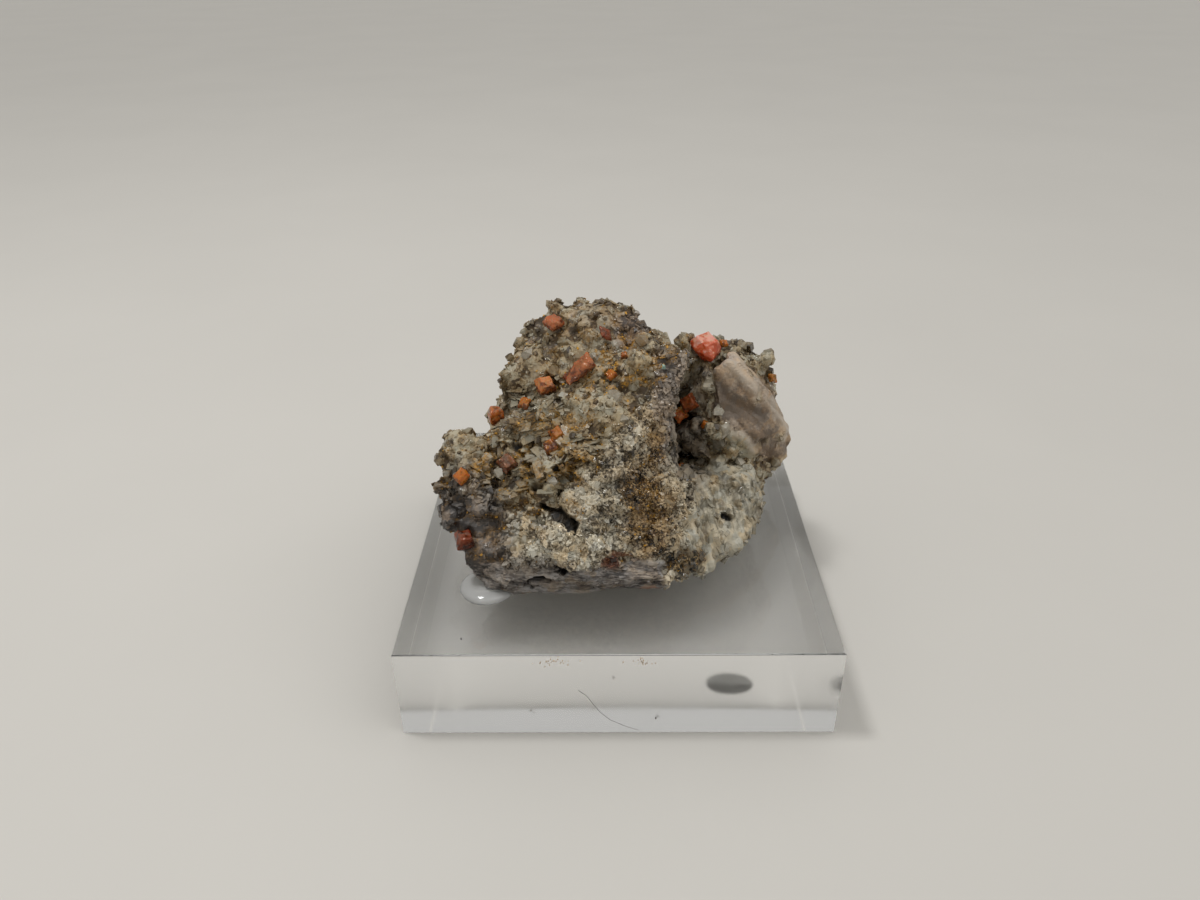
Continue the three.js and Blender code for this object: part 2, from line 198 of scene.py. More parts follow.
def addHull(work, corners, coat=0):
    one = hullMesh("one", corners)
    one.polygons.foreach_set("material_index", [coat] * len(one.polygons))
    work.from_mesh(one)
    bpy.data.meshes.remove(one)


def addedToRoot(piece, slot, *replaced):
    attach(piece, "root")
    if replaced:
        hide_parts(*replaced)
    print("piece", piece.name, len(piece.data.polygons), "faces")


# Materials from shader nodes
def feed(tree, value, socket):
    if hasattr(value, "is_output"):
        tree.links.new(value, socket)
    else:
        socket.default_value = value


def addNode(tree, kind, feeds=(), **values):  # feeds: a value or another node's output for each socket
    node = tree.nodes.new(kind)
    for key, value in values.items():
        setattr(node, key, value)
    for socket, value in dict(feeds).items():
        feed(tree, value, node.inputs[socket])
    return node


class Shader:
    def __init__(self, name):
        self.material = bpy.data.materials.new(name)
        self.material.use_nodes = True
        self.tree = self.material.node_tree
        self.surface = self.tree.nodes["Principled BSDF"]
        self.place = self.add("ShaderNodeTexCoord").outputs["Object"]

    def add(self, kind, feeds=(), **values):
        return addNode(self.tree, kind, feeds, **values)

    def math(self, operation, a, b=0.0, extra=0.0, clamp=False):
        feeds = {0: a, 1: b, 2: extra}
        return self.add("ShaderNodeMath", feeds, operation=operation, use_clamp=clamp).outputs[0]

    def noise(self, size, detail=4.0, rough=0.55, source=None):
        feeds = {"Vector": source or self.place, "Scale": 1 / (size * mm)}
        feeds.update({"Detail": detail, "Roughness": rough})
        return self.add("ShaderNodeTexNoise", feeds).outputs[0]

    def cells(self, size, source=None):
        feeds = {"Vector": source or self.place, "Scale": 1 / (size * mm)}
        return self.add("ShaderNodeTexVoronoi", feeds).outputs["Color"]

    def drawnOut(self, axis, stretch, source=None):  # the place, drawn out along an axis
        turn = Vector((1, 0, 0)).rotation_difference(Vector(axis)).to_euler()
        feeds = {"Vector": source or self.place, "Rotation": turn, "Scale": (stretch, 1, 1)}
        return self.add("ShaderNodeMapping", feeds, vector_type="TEXTURE").outputs[0]

    def strokes(self, size, patch, stretch):  # short strokes, turned another way in each patch
        feeds = {0: self.cells(patch), "Scale": 2 * math.pi}
        angles = self.add("ShaderNodeVectorMath", feeds, operation="SCALE").outputs[0]
        feeds = {"Vector": self.place, "Rotation": angles}
        turned = self.add("ShaderNodeVectorRotate", feeds, rotation_type="EULER_XYZ").outputs[0]
        return self.cells(size, self.drawnOut((1, 0, 0), stretch, turned))

    def mosaic(self, size, wobble):  # uneven patches: a tone and a warmth for each
        feeds = {"Vector": self.place, "Scale": 1 / (size * mm), "Detail": 4}
        bend = self.add("ShaderNodeTexNoise", feeds).outputs["Color"]
        feeds = {0: bend, 1: (wobble * mm,) * 3, 2: self.place}
        pushed = self.add("ShaderNodeVectorMath", feeds, operation="MULTIPLY_ADD").outputs[0]
        parts = self.add("ShaderNodeSeparateColor", {0: self.cells(size, pushed)}).outputs
        return parts[0], parts[1]

    def value(self, name):
        return self.add("ShaderNodeAttribute", attribute_name=name).outputs["Fac"]

    def ramp(self, source, stops):
        node = self.add("ShaderNodeValToRGB", {0: source})
        elements = node.color_ramp.elements
        while len(elements) < len(stops):
            elements.new(0.5)
        for element, (place, colour) in zip(elements, stops):
            element.position = place
            element.color = (*colour, 1)
        return node.outputs[0]

    def between(self, source, low, high, start=0.35, end=0.65):  # two colours, or two greys as numbers
        ends = [value if isinstance(value, tuple) else (value,) * 3 for value in (low, high)]
        return self.ramp(source, list(zip((start, end), ends)))

    def blend(self, share, a, b, kind="MIX"):
        a, b = ((*value, 1) if isinstance(value, tuple) else value for value in (a, b))
        feeds = {0: share, 6: a, 7: b}
        return self.add("ShaderNodeMix", feeds, data_type="RGBA", blend_type=kind).outputs[2]

    def bump(self, height, strength, distance, after=None):
        feeds = {"Height": height, "Strength": strength, "Distance": distance * mm}
        if after:
            feeds["Normal"] = after
        return self.add("ShaderNodeBump", feeds).outputs[0]

    def set(self, **values):
        for key, value in values.items():
            if isinstance(value, tuple) and len(value) == 3:
                value = (*value, 1)
            feed(self.tree, value, self.surface.inputs[key.replace("_", " ")])
        return self.material


# Camera, floor and light
viewSettings = {
    "eye": (-0.989, -98.379, 81.123),  # millimetres
    "pitch": 0.5308,  # radians
    "yaw": -0.0106,
    "roll": 0.0107,
    "focalPixels": 896.95,
    "frameWidth": 1200,
    "sensorWidth": 36,
    "nearest": 0.005,
}


def makeCamera(settings):
    pitch, yaw, roll = settings["pitch"], settings["yaw"], settings["roll"]
    ahead = Vector((math.sin(yaw) * math.cos(pitch), math.cos(yaw) * math.cos(pitch), -math.sin(pitch)))
    side = Vector((math.cos(yaw), -math.sin(yaw), 0))
    down = ahead.cross(side)
    right = side * math.cos(roll) + down * math.sin(roll)
    up = side * math.sin(roll) - down * math.cos(roll)
    data = bpy.data.cameras.new("camera")
    data.sensor_width = settings["sensorWidth"]
    data.lens = data.sensor_width * settings["focalPixels"] / settings["frameWidth"]
    data.clip_start = settings["nearest"]
    camera = bpy.data.objects.new("camera", data)
    turn = Matrix((right, up, -ahead)).transposed().to_4x4()
    camera.matrix_world = Matrix.Translation(Vector(settings["eye"]) * mm) @ turn
    bpy.context.scene.collection.objects.link(camera)
    bpy.context.scene.camera = camera


lightSettings = {
    "skyColour": (1.0, 0.985, 0.95),
    "skyStrength": 0.5,
    "sunTurn": (0.15, 0.55, 0.0),
    "sunSpread": 0.9,
    "sunStrength": 0.65,
    "lampPlace": (-0.13, 0.0, 0.42),
    "lampSize": 0.06,
    "lampPower": 0.6,
    "lampTarget": (0, 0, 0.025),
    "floorColour": (0.62, 0.6, 0.56),
    "floorHalf": 4.0,
    "floorDrop": 0.05,  # millimetres under the block
}


def addLight(name, kind, power, place=(0, 0, 1), turn=(0, 0, 0)):
    data = bpy.data.lights.new(name, kind)
    data.energy = power
    light = bpy.data.objects.new(name, data)
    light.location = place
    light.rotation_euler = turn
    bpy.context.scene.collection.objects.link(light)
    return light


def makeStudio(settings):
    world = bpy.data.worlds.new("studio")
    world.use_nodes = True
    sky = world.node_tree.nodes["Background"]
    sky.inputs[0].default_value = (*settings["skyColour"], 1)
    sky.inputs[1].default_value = settings["skyStrength"]
    bpy.context.scene.world = world
    sun = addLight("softSun", "SUN", settings["sunStrength"], turn=settings["sunTurn"])
    sun.data.angle = settings["sunSpread"]
    toStone = Vector(settings["lampTarget"]) - Vector(settings["lampPlace"])
    turn = toStone.to_track_quat("-Z", "Y").to_euler()
    lamp = addLight("smallLamp", "AREA", settings["lampPower"], settings["lampPlace"], turn)
    lamp.data.size = settings["lampSize"]
    half = settings["floorHalf"]
    mesh = bpy.data.meshes.new("floor")
    corners = [(-half, -half, 0), (half, -half, 0), (half, half, 0), (-half, half, 0)]
    mesh.from_pydata(corners, [], [(0, 1, 2, 3)])
    floor = newPiece("floor", mesh)
    floor.location.z = -settings["floorDrop"] * mm
    shader = Shader("floorPaint")
    pale = settings["floorColour"]
    tone = shader.between(shader.noise(60), tuple(c * 0.97 for c in pale), pale, 0.3, 0.7)
    mesh.materials.append(shader.set(Base_Color=tone, Roughness=0.6))
    bpy.context.scene.view_settings.view_transform = "Standard"
    print("stage camera, floor and light")


# The stone
stoneSettings = {
    "voxel": 0.29,
    "sizes": (3.6, 1.5, 0.62),  # broad, middle and fine crystals
    "druseSink": 0.45,
    "flankCalm": 0.55,  # how much flatter the crust is on the flank, where trimmed and beside wulfenite
    "thinCalm": 0.7,
    "besideCalm": 0.75,
    "seatDepth": 0.1,
    "columnSize": 0.9,
    "columnLift": 0.8,
    "columnStretch": 0.8,
    "prismSize": 1.7,
    "prismLift": 0.9,
    "prismStretch": 0.78,
    "ridgeWidth": 1.1,
    "ridgeLift": 0.35,
    "sheetSize": 0.7,
    "sheetStretch": (0.16, 0.16, 1),
    "sheetLift": 0.3,
    "ledgeStep": 1.9,
    "ledgeLift": 1.3,
    "ledgeTilt": 0.12,
    "ledgeSway": 0.9,
    "gapDepth": 1.2,
    "holePush": (0.1, 1.9, -1.2),
    "fillPush": (0.0, -2.0, 0.9),
    "lowest": 12.1,  # just clear of the block
    "dustShares": {"druse": 0.28, "broken": 0.1, "rust": 0.45},
    "patchDust": 1.6,
    # sun: painted light, paler on the great crystal's lit side and darker on its other side
    "streaks": {"prism": 0.8, "sun": 0.9, "column": 0.9, "sheet": 0.6, "flank": 0.5},
    "seed": 5,
}
reliefShares = {  # how far each region follows the broad, middle and fine crystals
    "druse": (1.1, 0.8, 0.3),
    "hollow": (0.8, 0.8, 0.6),
    "broken": (0.7, 1.25, 0.6),
    "strip": (0.1, 0.15, 0.2),
    "pale": (0.4, 0.6, 0.4),
    "smooth": (0.1, 0.1, 0.1),
}
brokenFace = (np.array([0.765, -0.324, -0.556]), 15.0)  # a plane: the front right of it is broken, not drusy
columnAxis = np.array([0.2, -0.48, -0.85])
prismAxis = np.array([0.655, 0.06, -0.753])
greatCorners = [  # the large smooth quartz crystal on the right
    (12.6, 5.4, 32), (16, 6.4, 32.6), (15.2, 9, 32.6), (19.6, 6.2, 29), (22.4, 7.2, 24.6), (23.8, 7.4, 20.6),
    (22.6, 6.2, 16.6), (18, 3.4, 17), (13.4, 3.6, 25.5), (18.6, 3.4, 22.6), (21, 11, 25), (21.4, 10, 16.5),
    (15, 9, 17),
]
ridgePlane = (np.array([0.689, 0.365, 0.628]), 32.6)  # the side of that crystal to the right of this plane is painted paler as lit, the left side darker as shaded
# the ridge line of that crystal, raised and painted with a highlight
greatRidge = [(14.2, 6.2, 32.6), (18, 5.6, 28.9), (20.2, 5.9, 26.6), (22.9, 7, 22.6)]
ochrePatches = [  # centre and radii of the places where ochre dust lies thickest
    ((0.8, 1.2, 35.2), (5, 4.6, 3)), ((-7.6, -7.4, 25.8), (5, 3, 2.4)), ((-7.4, -2.6, 29.6), (5, 3, 2.4)),
    ((-16.6, -5.8, 25.6), (2.4, 2, 2)), ((-5.4, -12.6, 22.2), (1.2, 1.2, 1.4)),
    ((-13.4, -9.4, 24), (1.1, 1.1, 1)), ((-3.6, -8.6, 27.2), (1.7, 1.4, 1.2)),
]
ledgePatches = [  # where the quartz lies in thin plates
    ((-8, -6.5, 26.5), (7.5, 4.4, 4)), ((-10.5, -0.5, 29.6), (5.4, 3, 2.2)), ((-13, -8.4, 24.6), (3.4, 3, 3)),
]
trims = [  # centre, radii and depth of the places where the crust is thin, or swells by a depth below 0
    ((-8.8, 10, 39.4), (4.5, 4.5, 4), 0.2), ((-15, 3, 32), (4, 5, 6), 0.5),
    ((15.5, 3.5, 20), (4.5, 4, 3.4), -0.2), ((-16.6, -12.6, 16.8), (3, 3, 2.4), -0.7),
    ((8.6, 1.4, 19.6), (2, 2.2, 1.6), 0.45),
    ((-3, 10.5, 40), (7, 5, 3), 0.2), ((-13, 5.5, 35), (3, 4, 3.5), 0.2),
]
tonePatches = [  # centre, radii and shift of the places that are darker or paler than the rest: some darker ones are painted shade in valleys between lumps, on the knob and in the back of the hollow, the others are the stone's own darker and paler spots
    ((1.1, -10.4, 25.3), (1.6, 1.5, 1.2), -0.5), ((-1.4, -11.7, 22.8), (1.1, 1.2, 1), -0.4),
    ((0.6, -8, 27.8), (1.2, 1.4, 1.6), -0.35), ((2.7, -11, 23), (1.2, 1.2, 1.4), -0.3),
    ((-14.6, -6.2, 25.9), (1.6, 1.4, 1), -0.4), ((-2.7, -10.8, 24.3), (1.6, 1.5, 2.2), 0.3),
    ((-10, -13.5, 20.6), (2.6, 1.8, 1.6), 0.25), ((-3.2, -14.5, 19), (2, 1.2, 1.1), 0.25),
    ((5.9, -10.4, 22.5), (0.8, 1.2, 3), 0.4), ((-4.9, -11.8, 23.6), (1.4, 1.2, 0.9), 0.2),
    ((15.5, 3.5, 20), (4, 3.5, 3), 0.4), ((-12, -8.4, 24.3), (2, 1.6, 1), -0.35),
    ((-10.6, -2.6, 28.4), (2.2, 1.2, 0.8), -0.35), ((-15.6, -8.8, 23.6), (1.6, 1.4, 1.2), -0.35),
    ((-15.4, -13.8, 14.6), (3, 2.5, 2), -0.15), ((-19, -9.5, 22.4), (4, 4, 3.6), -0.25),
    ((-12, 6, 36), (5, 5, 4), -0.12), ((-3, 9, 39.5), (6, 4, 2.5), -0.08),
    ((8.6, 9.5, 19.5), (3.4, 4, 4.5), -0.6), ((7, 0.5, 26), (1.6, 3, 4), -0.4),
]
regionEdges = {  # axis, side, place and softness of the bounds of a region
    "pale": (("x", 1, 7.2, 1.4), ("y", -1, 3.5, 2), ("z", -1, 21.4, 1.2)),
    "strip": (("y", -1, -11.6, 1), ("x", -1, 6.4, 1.2)),
    "lowLeft": (("x", -1, -4.6, 3), ("y", -1, -11.5, 1)),
    "broken": (("y", -1, 3.2, 1.5), ("x", -1, 9.8, 1)),
    "flank": (("x", 1, 3.6, 1.6), ("z", 1, 25, 3), ("y", -1, 3, 2), ("x", -1, 9.4, 1)),
}
stripTop = 16.6
lowLeftTop = 18.6
# the hollow between the lobes, coloured dark as painted shade
hollowPatch = ((9.2, 1.5, 26), (3.6, 9.5, 8.4), 0.25)
regionPatches = {  # centre, radii and share of the spots that make up a region
    "sugar": [
        ((-8.8, -13.6, 18.6), (6.2, 4.2, 4), 1), ((-1.5, -12, 20.5), (4, 4, 4.5), 0.5),
        ((6.9, -14.4, 14.3), (1.5, 1.2, 0.6), 1), ((3.4, -14.4, 16.4), (1.6, 1.2, 0.7), 1),
    ],
    "rust": [((3.2, -10.8, 22), (2.9, 5, 6.2), 1), ((4.4, -6, 28.6), (1.4, 3, 2.6), 0.8)],
    "murk": [((8, -13.4, 15.9), (2.6, 2.6, 1.6), 1)],
    "knob": [((-18.5, -10, 19.5), (6, 6, 6), 1)],
    "stain": [((0.8, -14.8, 17.1), (2.6, 1.4, 0.36), 1), ((4.5, -14.4, 13), (2.4, 1.2, 0.5), 0.7)],
    # under: the knob's underside, painted darker as shade
    "under": [((-18, -12, 18.6), (5, 4, 4.4), 1)],
    "corner": [((-15.6, -13.6, 14.6), (3, 3, 2.4), 1)],
    "brown": [((2.2, 5.6, 37.6), (2.6, 2.6, 2.4), 1), ((-3.4, 7, 38), (3, 3, 2), 0.3)],
}
holeFill = ((-9.2, -10.6, 19.9), (1.5, 1.6, 1.4))  # a corner of the hole that is filled with quartz
# the front hole, cut in and painted near black as shade
frontHole = [(-8.8, -11.6, 22.9), (-7.1, -12.7, 22.1), (-5.7, -13.4, 21.1)]
darkGaps = [  # ends and radius of holes and slits, cut in and painted near black as shade
    ((-7.2, -8.4, 26), (-5.4, -8.7, 26.2), 0.35),
    ((-8.2, -9.3, 24.9), (-4.4, -9.6, 24.8), 0.3), ((-12.6, -15.4, 14.6), (-10.3, -15.4, 14.7), 0.26),
    ((-9.7, -15.4, 14.8), (-8, -15.4, 14.8), 0.24), ((-6.9, -15.2, 16.1), (-6, -15.2, 16.1), 0.22),
    ((-5.7, -15.2, 15.2), (-5.1, -15.2, 15.2), 0.2), ((-10.9, -15.2, 13.8), (-10.2, -15.2, 13.7), 0.2),
    ((-14.9, -5.4, 25.2), (-14.2, -5.6, 25.2), 0.45),
    ((-11.9, -4.9, 26.2), (-11.4, -5, 26.2), 0.45), ((-9.6, -9.6, 24.2), (-9.2, -9.7, 24), 0.4),
    ((13.4, -6.2, 17.3), (13.8, -6.2, 17), 0.35),
]


def outsideHull(points, corners):
    mesh = hullMesh("probe", corners)
    flats = [(np.array(f.normal), np.array(f.center) / mm) for f in mesh.polygons]
    bpy.data.meshes.remove(mesh)
    return np.max([(points - centre) @ normal for normal, centre in flats], axis=0)


def awayFromLine(points, line):
    nearest = np.full(len(points), 99.0)
    for start, end in zip(line, line[1:]):
        start, along = np.array(start), np.subtract(end, start)
        share = np.clip((points - start) @ along / (along @ along), 0, 1)
        nearest = np.minimum(nearest, np.linalg.norm(points - start - share[:, None] * along, axis=1))
    return nearest


def squeezed(points, axis, share):
    return points - share * (points @ axis)[:, None] * axis


def nearGaps(points, width, fade):  # 1 in the holes and slits, 0 away from them
    return np.max([
        ease((width * radius - awayFromLine(points, (start, end))) / (fade * radius))
        for start, end, radius in darkGaps
    ], axis=0)


def toNearest(places, others):
    tree = KDTree(len(others))
    for k, point in enumerate(others):
        tree.insert(point, k)
    tree.balance()
    return np.array([tree.find(point)[2] for point in places])


def raggedPlaces(places, seed):  # the places with a short wander, for frayed outlines
    return places + np.stack([
        0.5 * waves(places, 0.9, seed + k) + 0.5 * waves(places, 1.9, seed + 10 + k) for k in range(3)
    ], -1)


def within(points, name, share=1.0):
    for axis, side, place, soft in regionEdges[name]:
        share = share * ease(side * (points[:, "xyz".index(axis)] - place) / soft)
    return share


def stoneRegions(places):  # how far each point of the stone belongs to each region, 0 to 1
    wander = np.stack([waves(places, 3.1, 60 + k) + 0.5 * waves(places, 1.1, 70 + k) for k in range(3)], -1)
    p = places + 0.9 * wander
    upward, sway = places[:, 2], wander[:, 2]
    spots = {
        name: sum(share * blob(p, centre, radii) for centre, radii, share in patches)
        for name, patches in regionPatches.items()
    }
    great = np.abs(outsideHull(places + 0.6 * wander, greatCorners))
    smooth = ease((0.8 - great) / 0.5) * (places[:, 0] > 12.6) * ease((upward - 17.5) / 2)
    smooth = smooth * ease((p @ ridgePlane[0] - ridgePlane[1] + 6.4) / 2.4)
    hollow = blob(p, *hollowPatch) * (1 - smooth)
    pale = within(p, "pale") * (1 - smooth)
    strip = within(p, "strip", ease((stripTop + 0.25 * sway - upward) / 0.5))
    lowLeft = within(p, "lowLeft", ease((lowLeftTop + 0.7 * sway - upward) / 1.8))
    broken = within(p, "broken", ease((places @ brokenFace[0] + brokenFace[1]) / 1.6))
    broken = broken * (1 - pale) * (1 - strip) * (1 - hollow)
    sugar = spots["sugar"] * (ease(0.75 + 1.1 * waves(places, 2.3, 81)) * (1 - 0.8 * lowLeft))
    return {
        "smooth": smooth,
        "hollow": hollow,
        "pale": pale,
        "strip": strip,
        "broken": broken,
        "sugar": np.clip(sugar, 0, 1) * (1 - strip),
        "rust": np.clip(spots["rust"] + 0.5 * spots["murk"], 0, 1) * (1 - strip),
        "murk": spots["murk"] * (1 - strip),
        "stain": spots["stain"],
        "under": spots["under"],
        "purple": np.clip(strip + 0.85 * spots["knob"] + 0.75 * lowLeft, 0, 1),
        "corner": spots["corner"],
        "flank": within(p, "flank"),
        "brown": spots["brown"],
        "druse": np.clip(1 - broken - pale - strip - smooth - hollow, 0, 1),
    }


def crustLift(places, regions, layers, settings):  # how far the crowded crystals stand out
    lift = sum(
        regions[name] * share * layer[0]
        for name, shares in reliefShares.items()
        for share, layer in zip(shares, layers)
    )
    lift *= 1 - settings["flankCalm"] * regions["flank"]
    lift -= settings["druseSink"] * regions["druse"]
    trimmed = np.zeros(len(places))
    for centre, radii, trim in trims:
        thin = blob(places, centre, radii, 0.5)
        lift = lift * (1 - settings["thinCalm"] * thin)
        trimmed += trim * thin
    return lift, trimmed


def addForms(lift, places, regions, settings):  # ridge, columns, long faces, sheets, ledges and their streaks
    seed = settings["seed"]
    aside = awayFromLine(places, greatRidge)
    ridge = ease((settings["ridgeWidth"] - aside) / 0.9) * regions["smooth"]
    lift += settings["ridgeLift"] * ridge
    drawn = squeezed(places, columnAxis, settings["columnStretch"])
    columns, columnTone = crystals(drawn, settings["columnSize"], seed + 7)
    lift += settings["columnLift"] * regions["pale"] * columns
    drawn = squeezed(places, prismAxis, settings["prismStretch"])
    prisms, prismTone = crystals(drawn, settings["prismSize"], seed + 9)
    lift += settings["prismLift"] * regions["smooth"] * prisms
    sheets = waves(places * settings["sheetStretch"], settings["sheetSize"], seed + 8)
    lift += settings["sheetLift"] * regions["strip"] * sheets
    ledges = np.max([blob(places, *patch) for patch in ledgePatches], axis=0) * regions["druse"]
    level = places[:, 2] + settings["ledgeTilt"] * places[:, 0]
    level = level + settings["ledgeSway"] * waves(places, 4.2, seed + 11)
    shelf = level / settings["ledgeStep"] % 1
    lift += settings["ledgeLift"] * ledges * (0.55 - shelf)
    regions["ridge"] = ridge
    regions["ledge"] = ledges
    share = settings["streaks"]
    # painted light: paler right of the ridge plane, darker left of it
    paintedLitSide = ease(0.5 + (places @ ridgePlane[0] - ridgePlane[1]) / 3)
    upright = waves(places * (1, 1, 0.2), 0.6, seed + 12)
    regions["streak"] = 0.5 + 0.5 * (
        regions["smooth"] * (share["prism"] * (prismTone - 0.5) + share["sun"] * (paintedLitSide - 0.5))
        + regions["pale"] * share["column"] * (columnTone - 0.5)
        + regions["strip"] * share["sheet"] * sheets
        + regions["flank"] * share["flank"] * upright
    )


def dustOver(places, regions, settings):  # how thickly the ochre dust lies
    share = settings["dustShares"]
    dusty = share["druse"] * regions["druse"] * ease((13 - places[:, 0]) / 3)
    dusty += share["broken"] * regions["broken"] + share["rust"] * regions["rust"]
    for centre, radii in ochrePatches:
        dusty += settings["patchDust"] * blob(places, centre, radii, 0.5) * (1 - regions["smooth"])
    return np.clip(dusty, 0, 1) * ease(0.4 + 2.2 * waves(places, 1.1, settings["seed"] + 10))


def makeStone(settings, crystalPoints):
    piece = remeshed(newPiece("stone", nodeMesh("quartz_matrix")), settings["voxel"])
    mesh = piece.data
    places = placesOf(mesh)
    regions = stoneRegions(places)
    seed = settings["seed"]
    layers = [crystals(places, size, seed + k) for k, size in enumerate(settings["sizes"])]
    lift, trimmed = crustLift(places, regions, layers, settings)
    addForms(lift, places, regions, settings)

    # slits, seats of the wulfenite, and the front hole
    ragged = raggedPlaces(places, seed + 20)
    frayed = 0.6 * places + 0.4 * ragged
    gap = nearGaps(frayed, 1.7, 0.7)
    fringe = nearGaps(places, 2.4, 0.4)
    lift -= settings["gapDepth"] * gap
    beside = toNearest(places, crystalPoints)
    seat = settings["seatDepth"] * ease((0.7 - beside) / 0.5)
    lift = lift * (1 - settings["besideCalm"] * ease((1.9 - beside) / 1.4)) - seat
    moved = places + facingOf(mesh) * (lift - trimmed)[:, None]
    reach = 0.65 + 0.75 * ease((places[:, 0] - frontHole[0][0]) / 3)
    hole = ease((reach - awayFromLine(frayed, frontHole)) / 0.5)
    moved += np.array(settings["holePush"]) * hole[:, None]
    moved += np.array(settings["fillPush"]) * (blob(places, *holeFill) * (1 - hole))[:, None]
    moved[:, 2] = np.maximum(moved[:, 2], settings["lowest"])
    movePlaces(mesh, moved)
    gap = np.maximum(gap, hole)
    fringe = np.maximum(fringe, ease((reach + 0.35 - awayFromLine(places, frontHole)) / 0.3))

    # what the material and the grains read at each point
    depth = ease(0.5 - lift / 1.3)
    regions["dust"] = dustOver(places, regions, settings) * (0.5 + 0.5 * depth) * (1 - gap)
    regions["gap"] = gap
    # tone patches: partly painted shade, partly the stone's own darker and paler spots
    for centre, radii, shift in tonePatches:
        regions["streak"] += shift * blob(ragged, centre, radii, 0.5)
    regions["open"] = (1 - fringe) * ease((places[:, 2] - 13) / 0.7) * (beside > 0.25)  # free for grains
    regions["open"] *= (1 - 0.6 * regions["under"]) * (1 - 0.6 * regions["corner"])
    regions["flakes"] = regions["broken"] * (1 - 0.65 * regions["rust"])
    # painted shade: the tone is darker in the crevices and paler on the raised crystals
    regions["rise"] = 1 - depth
    regions["luck"] = 0.5 * layers[0][1] + 0.5 * layers[1][1]
    for name, values in regions.items():
        keepValues(mesh, name, values)
    mesh.shade_flat()
    mesh.materials.append(stoneMaterial("quartzStone"))
    addedToRoot(piece, "grey_quartz", "quartz_matrix")
    return piece


stoneColours = {  # dark, middle and light colour of each region
    "druse": ((0.064, 0.041, 0.018), (0.264, 0.198, 0.113), (0.42, 0.374, 0.276)),
    "brown": ((0.05, 0.034, 0.024), (0.18, 0.125, 0.085), (0.32, 0.25, 0.19)),
    "broken": ((0.04, 0.031, 0.02), (0.22, 0.175, 0.118), (0.54, 0.475, 0.365)),
    "sugar": ((0.14, 0.115, 0.082), (0.42, 0.37, 0.285), (0.84, 0.78, 0.65)),
    "purple": ((0.03, 0.025, 0.022), (0.14, 0.12, 0.107), (0.31, 0.28, 0.257)),
    # under: painted shade on the knob's underside
    "under": ((0.03, 0.024, 0.02), (0.1, 0.083, 0.071), (0.2, 0.168, 0.148)),
    "flank": ((0.04, 0.03, 0.024), (0.15, 0.118, 0.094), (0.34, 0.285, 0.24)),
    "pale": ((0.19, 0.166, 0.124), (0.31, 0.282, 0.218), (0.46, 0.42, 0.335)),
    "rust": ((0.009, 0.007, 0.005), (0.115, 0.07, 0.036), (0.41, 0.305, 0.18)),
    "murk": ((0.004, 0.004, 0.003), (0.03, 0.026, 0.017), (0.14, 0.115, 0.075)),
    "smooth": ((0.145, 0.106, 0.076), (0.29, 0.219, 0.16), (0.49, 0.396, 0.31)),
    # hollow: dark colours painted as the shade in the cavity
    "hollow": ((0.01, 0.008, 0.006), (0.085, 0.064, 0.046), (0.26, 0.22, 0.175)),
    # gap: near black, painted shade inside the holes and slits
    "gap": ((0.002, 0.0015, 0.001), (0.006, 0.0045, 0.003), (0.04, 0.03, 0.02)),
    "stain": ((0.025, 0.008, 0.004), (0.13, 0.045, 0.024), (0.28, 0.13, 0.08)),
}
quartzIor = 1.54
dustColour = ((0.24, 0.12, 0.018), (0.6, 0.31, 0.04))
# painted highlight colour along the great crystal's ridge
ridgeHighlightColour = (0.45, 0.39, 0.32)
toneStops = (0.32, 0.5, 0.72)
toneWeights = {  # how strongly each part shifts the tone; luck is set for each piece; the height part paints shade, darker in low places and paler on high ones
    "grain": 0.55, "patch": 0.4, "strokes": 0.45, "mosaic": 0.46, "luck": 0.35, "rise": 0.42, "streak": 0.6,
}
warmthStops = (0.32, 0.5, 0.68)
warmths = ((0.95, 0.99, 1.02), (1.02, 1.0, 0.94), (1.09, 0.985, 0.82))
grainAxes = {  # direction, width and contrast of the fine lines in the regions that have them
    "smooth": (prismAxis, 0.6, 0.8),
    "pale": (columnAxis, 0.35, 2.5),
    "strip": ((0.99, -0.1, -0.06), 0.2, 2.6),
    "flank": ((0.2, -0.4, -0.9), 0.3, 2.2),
}


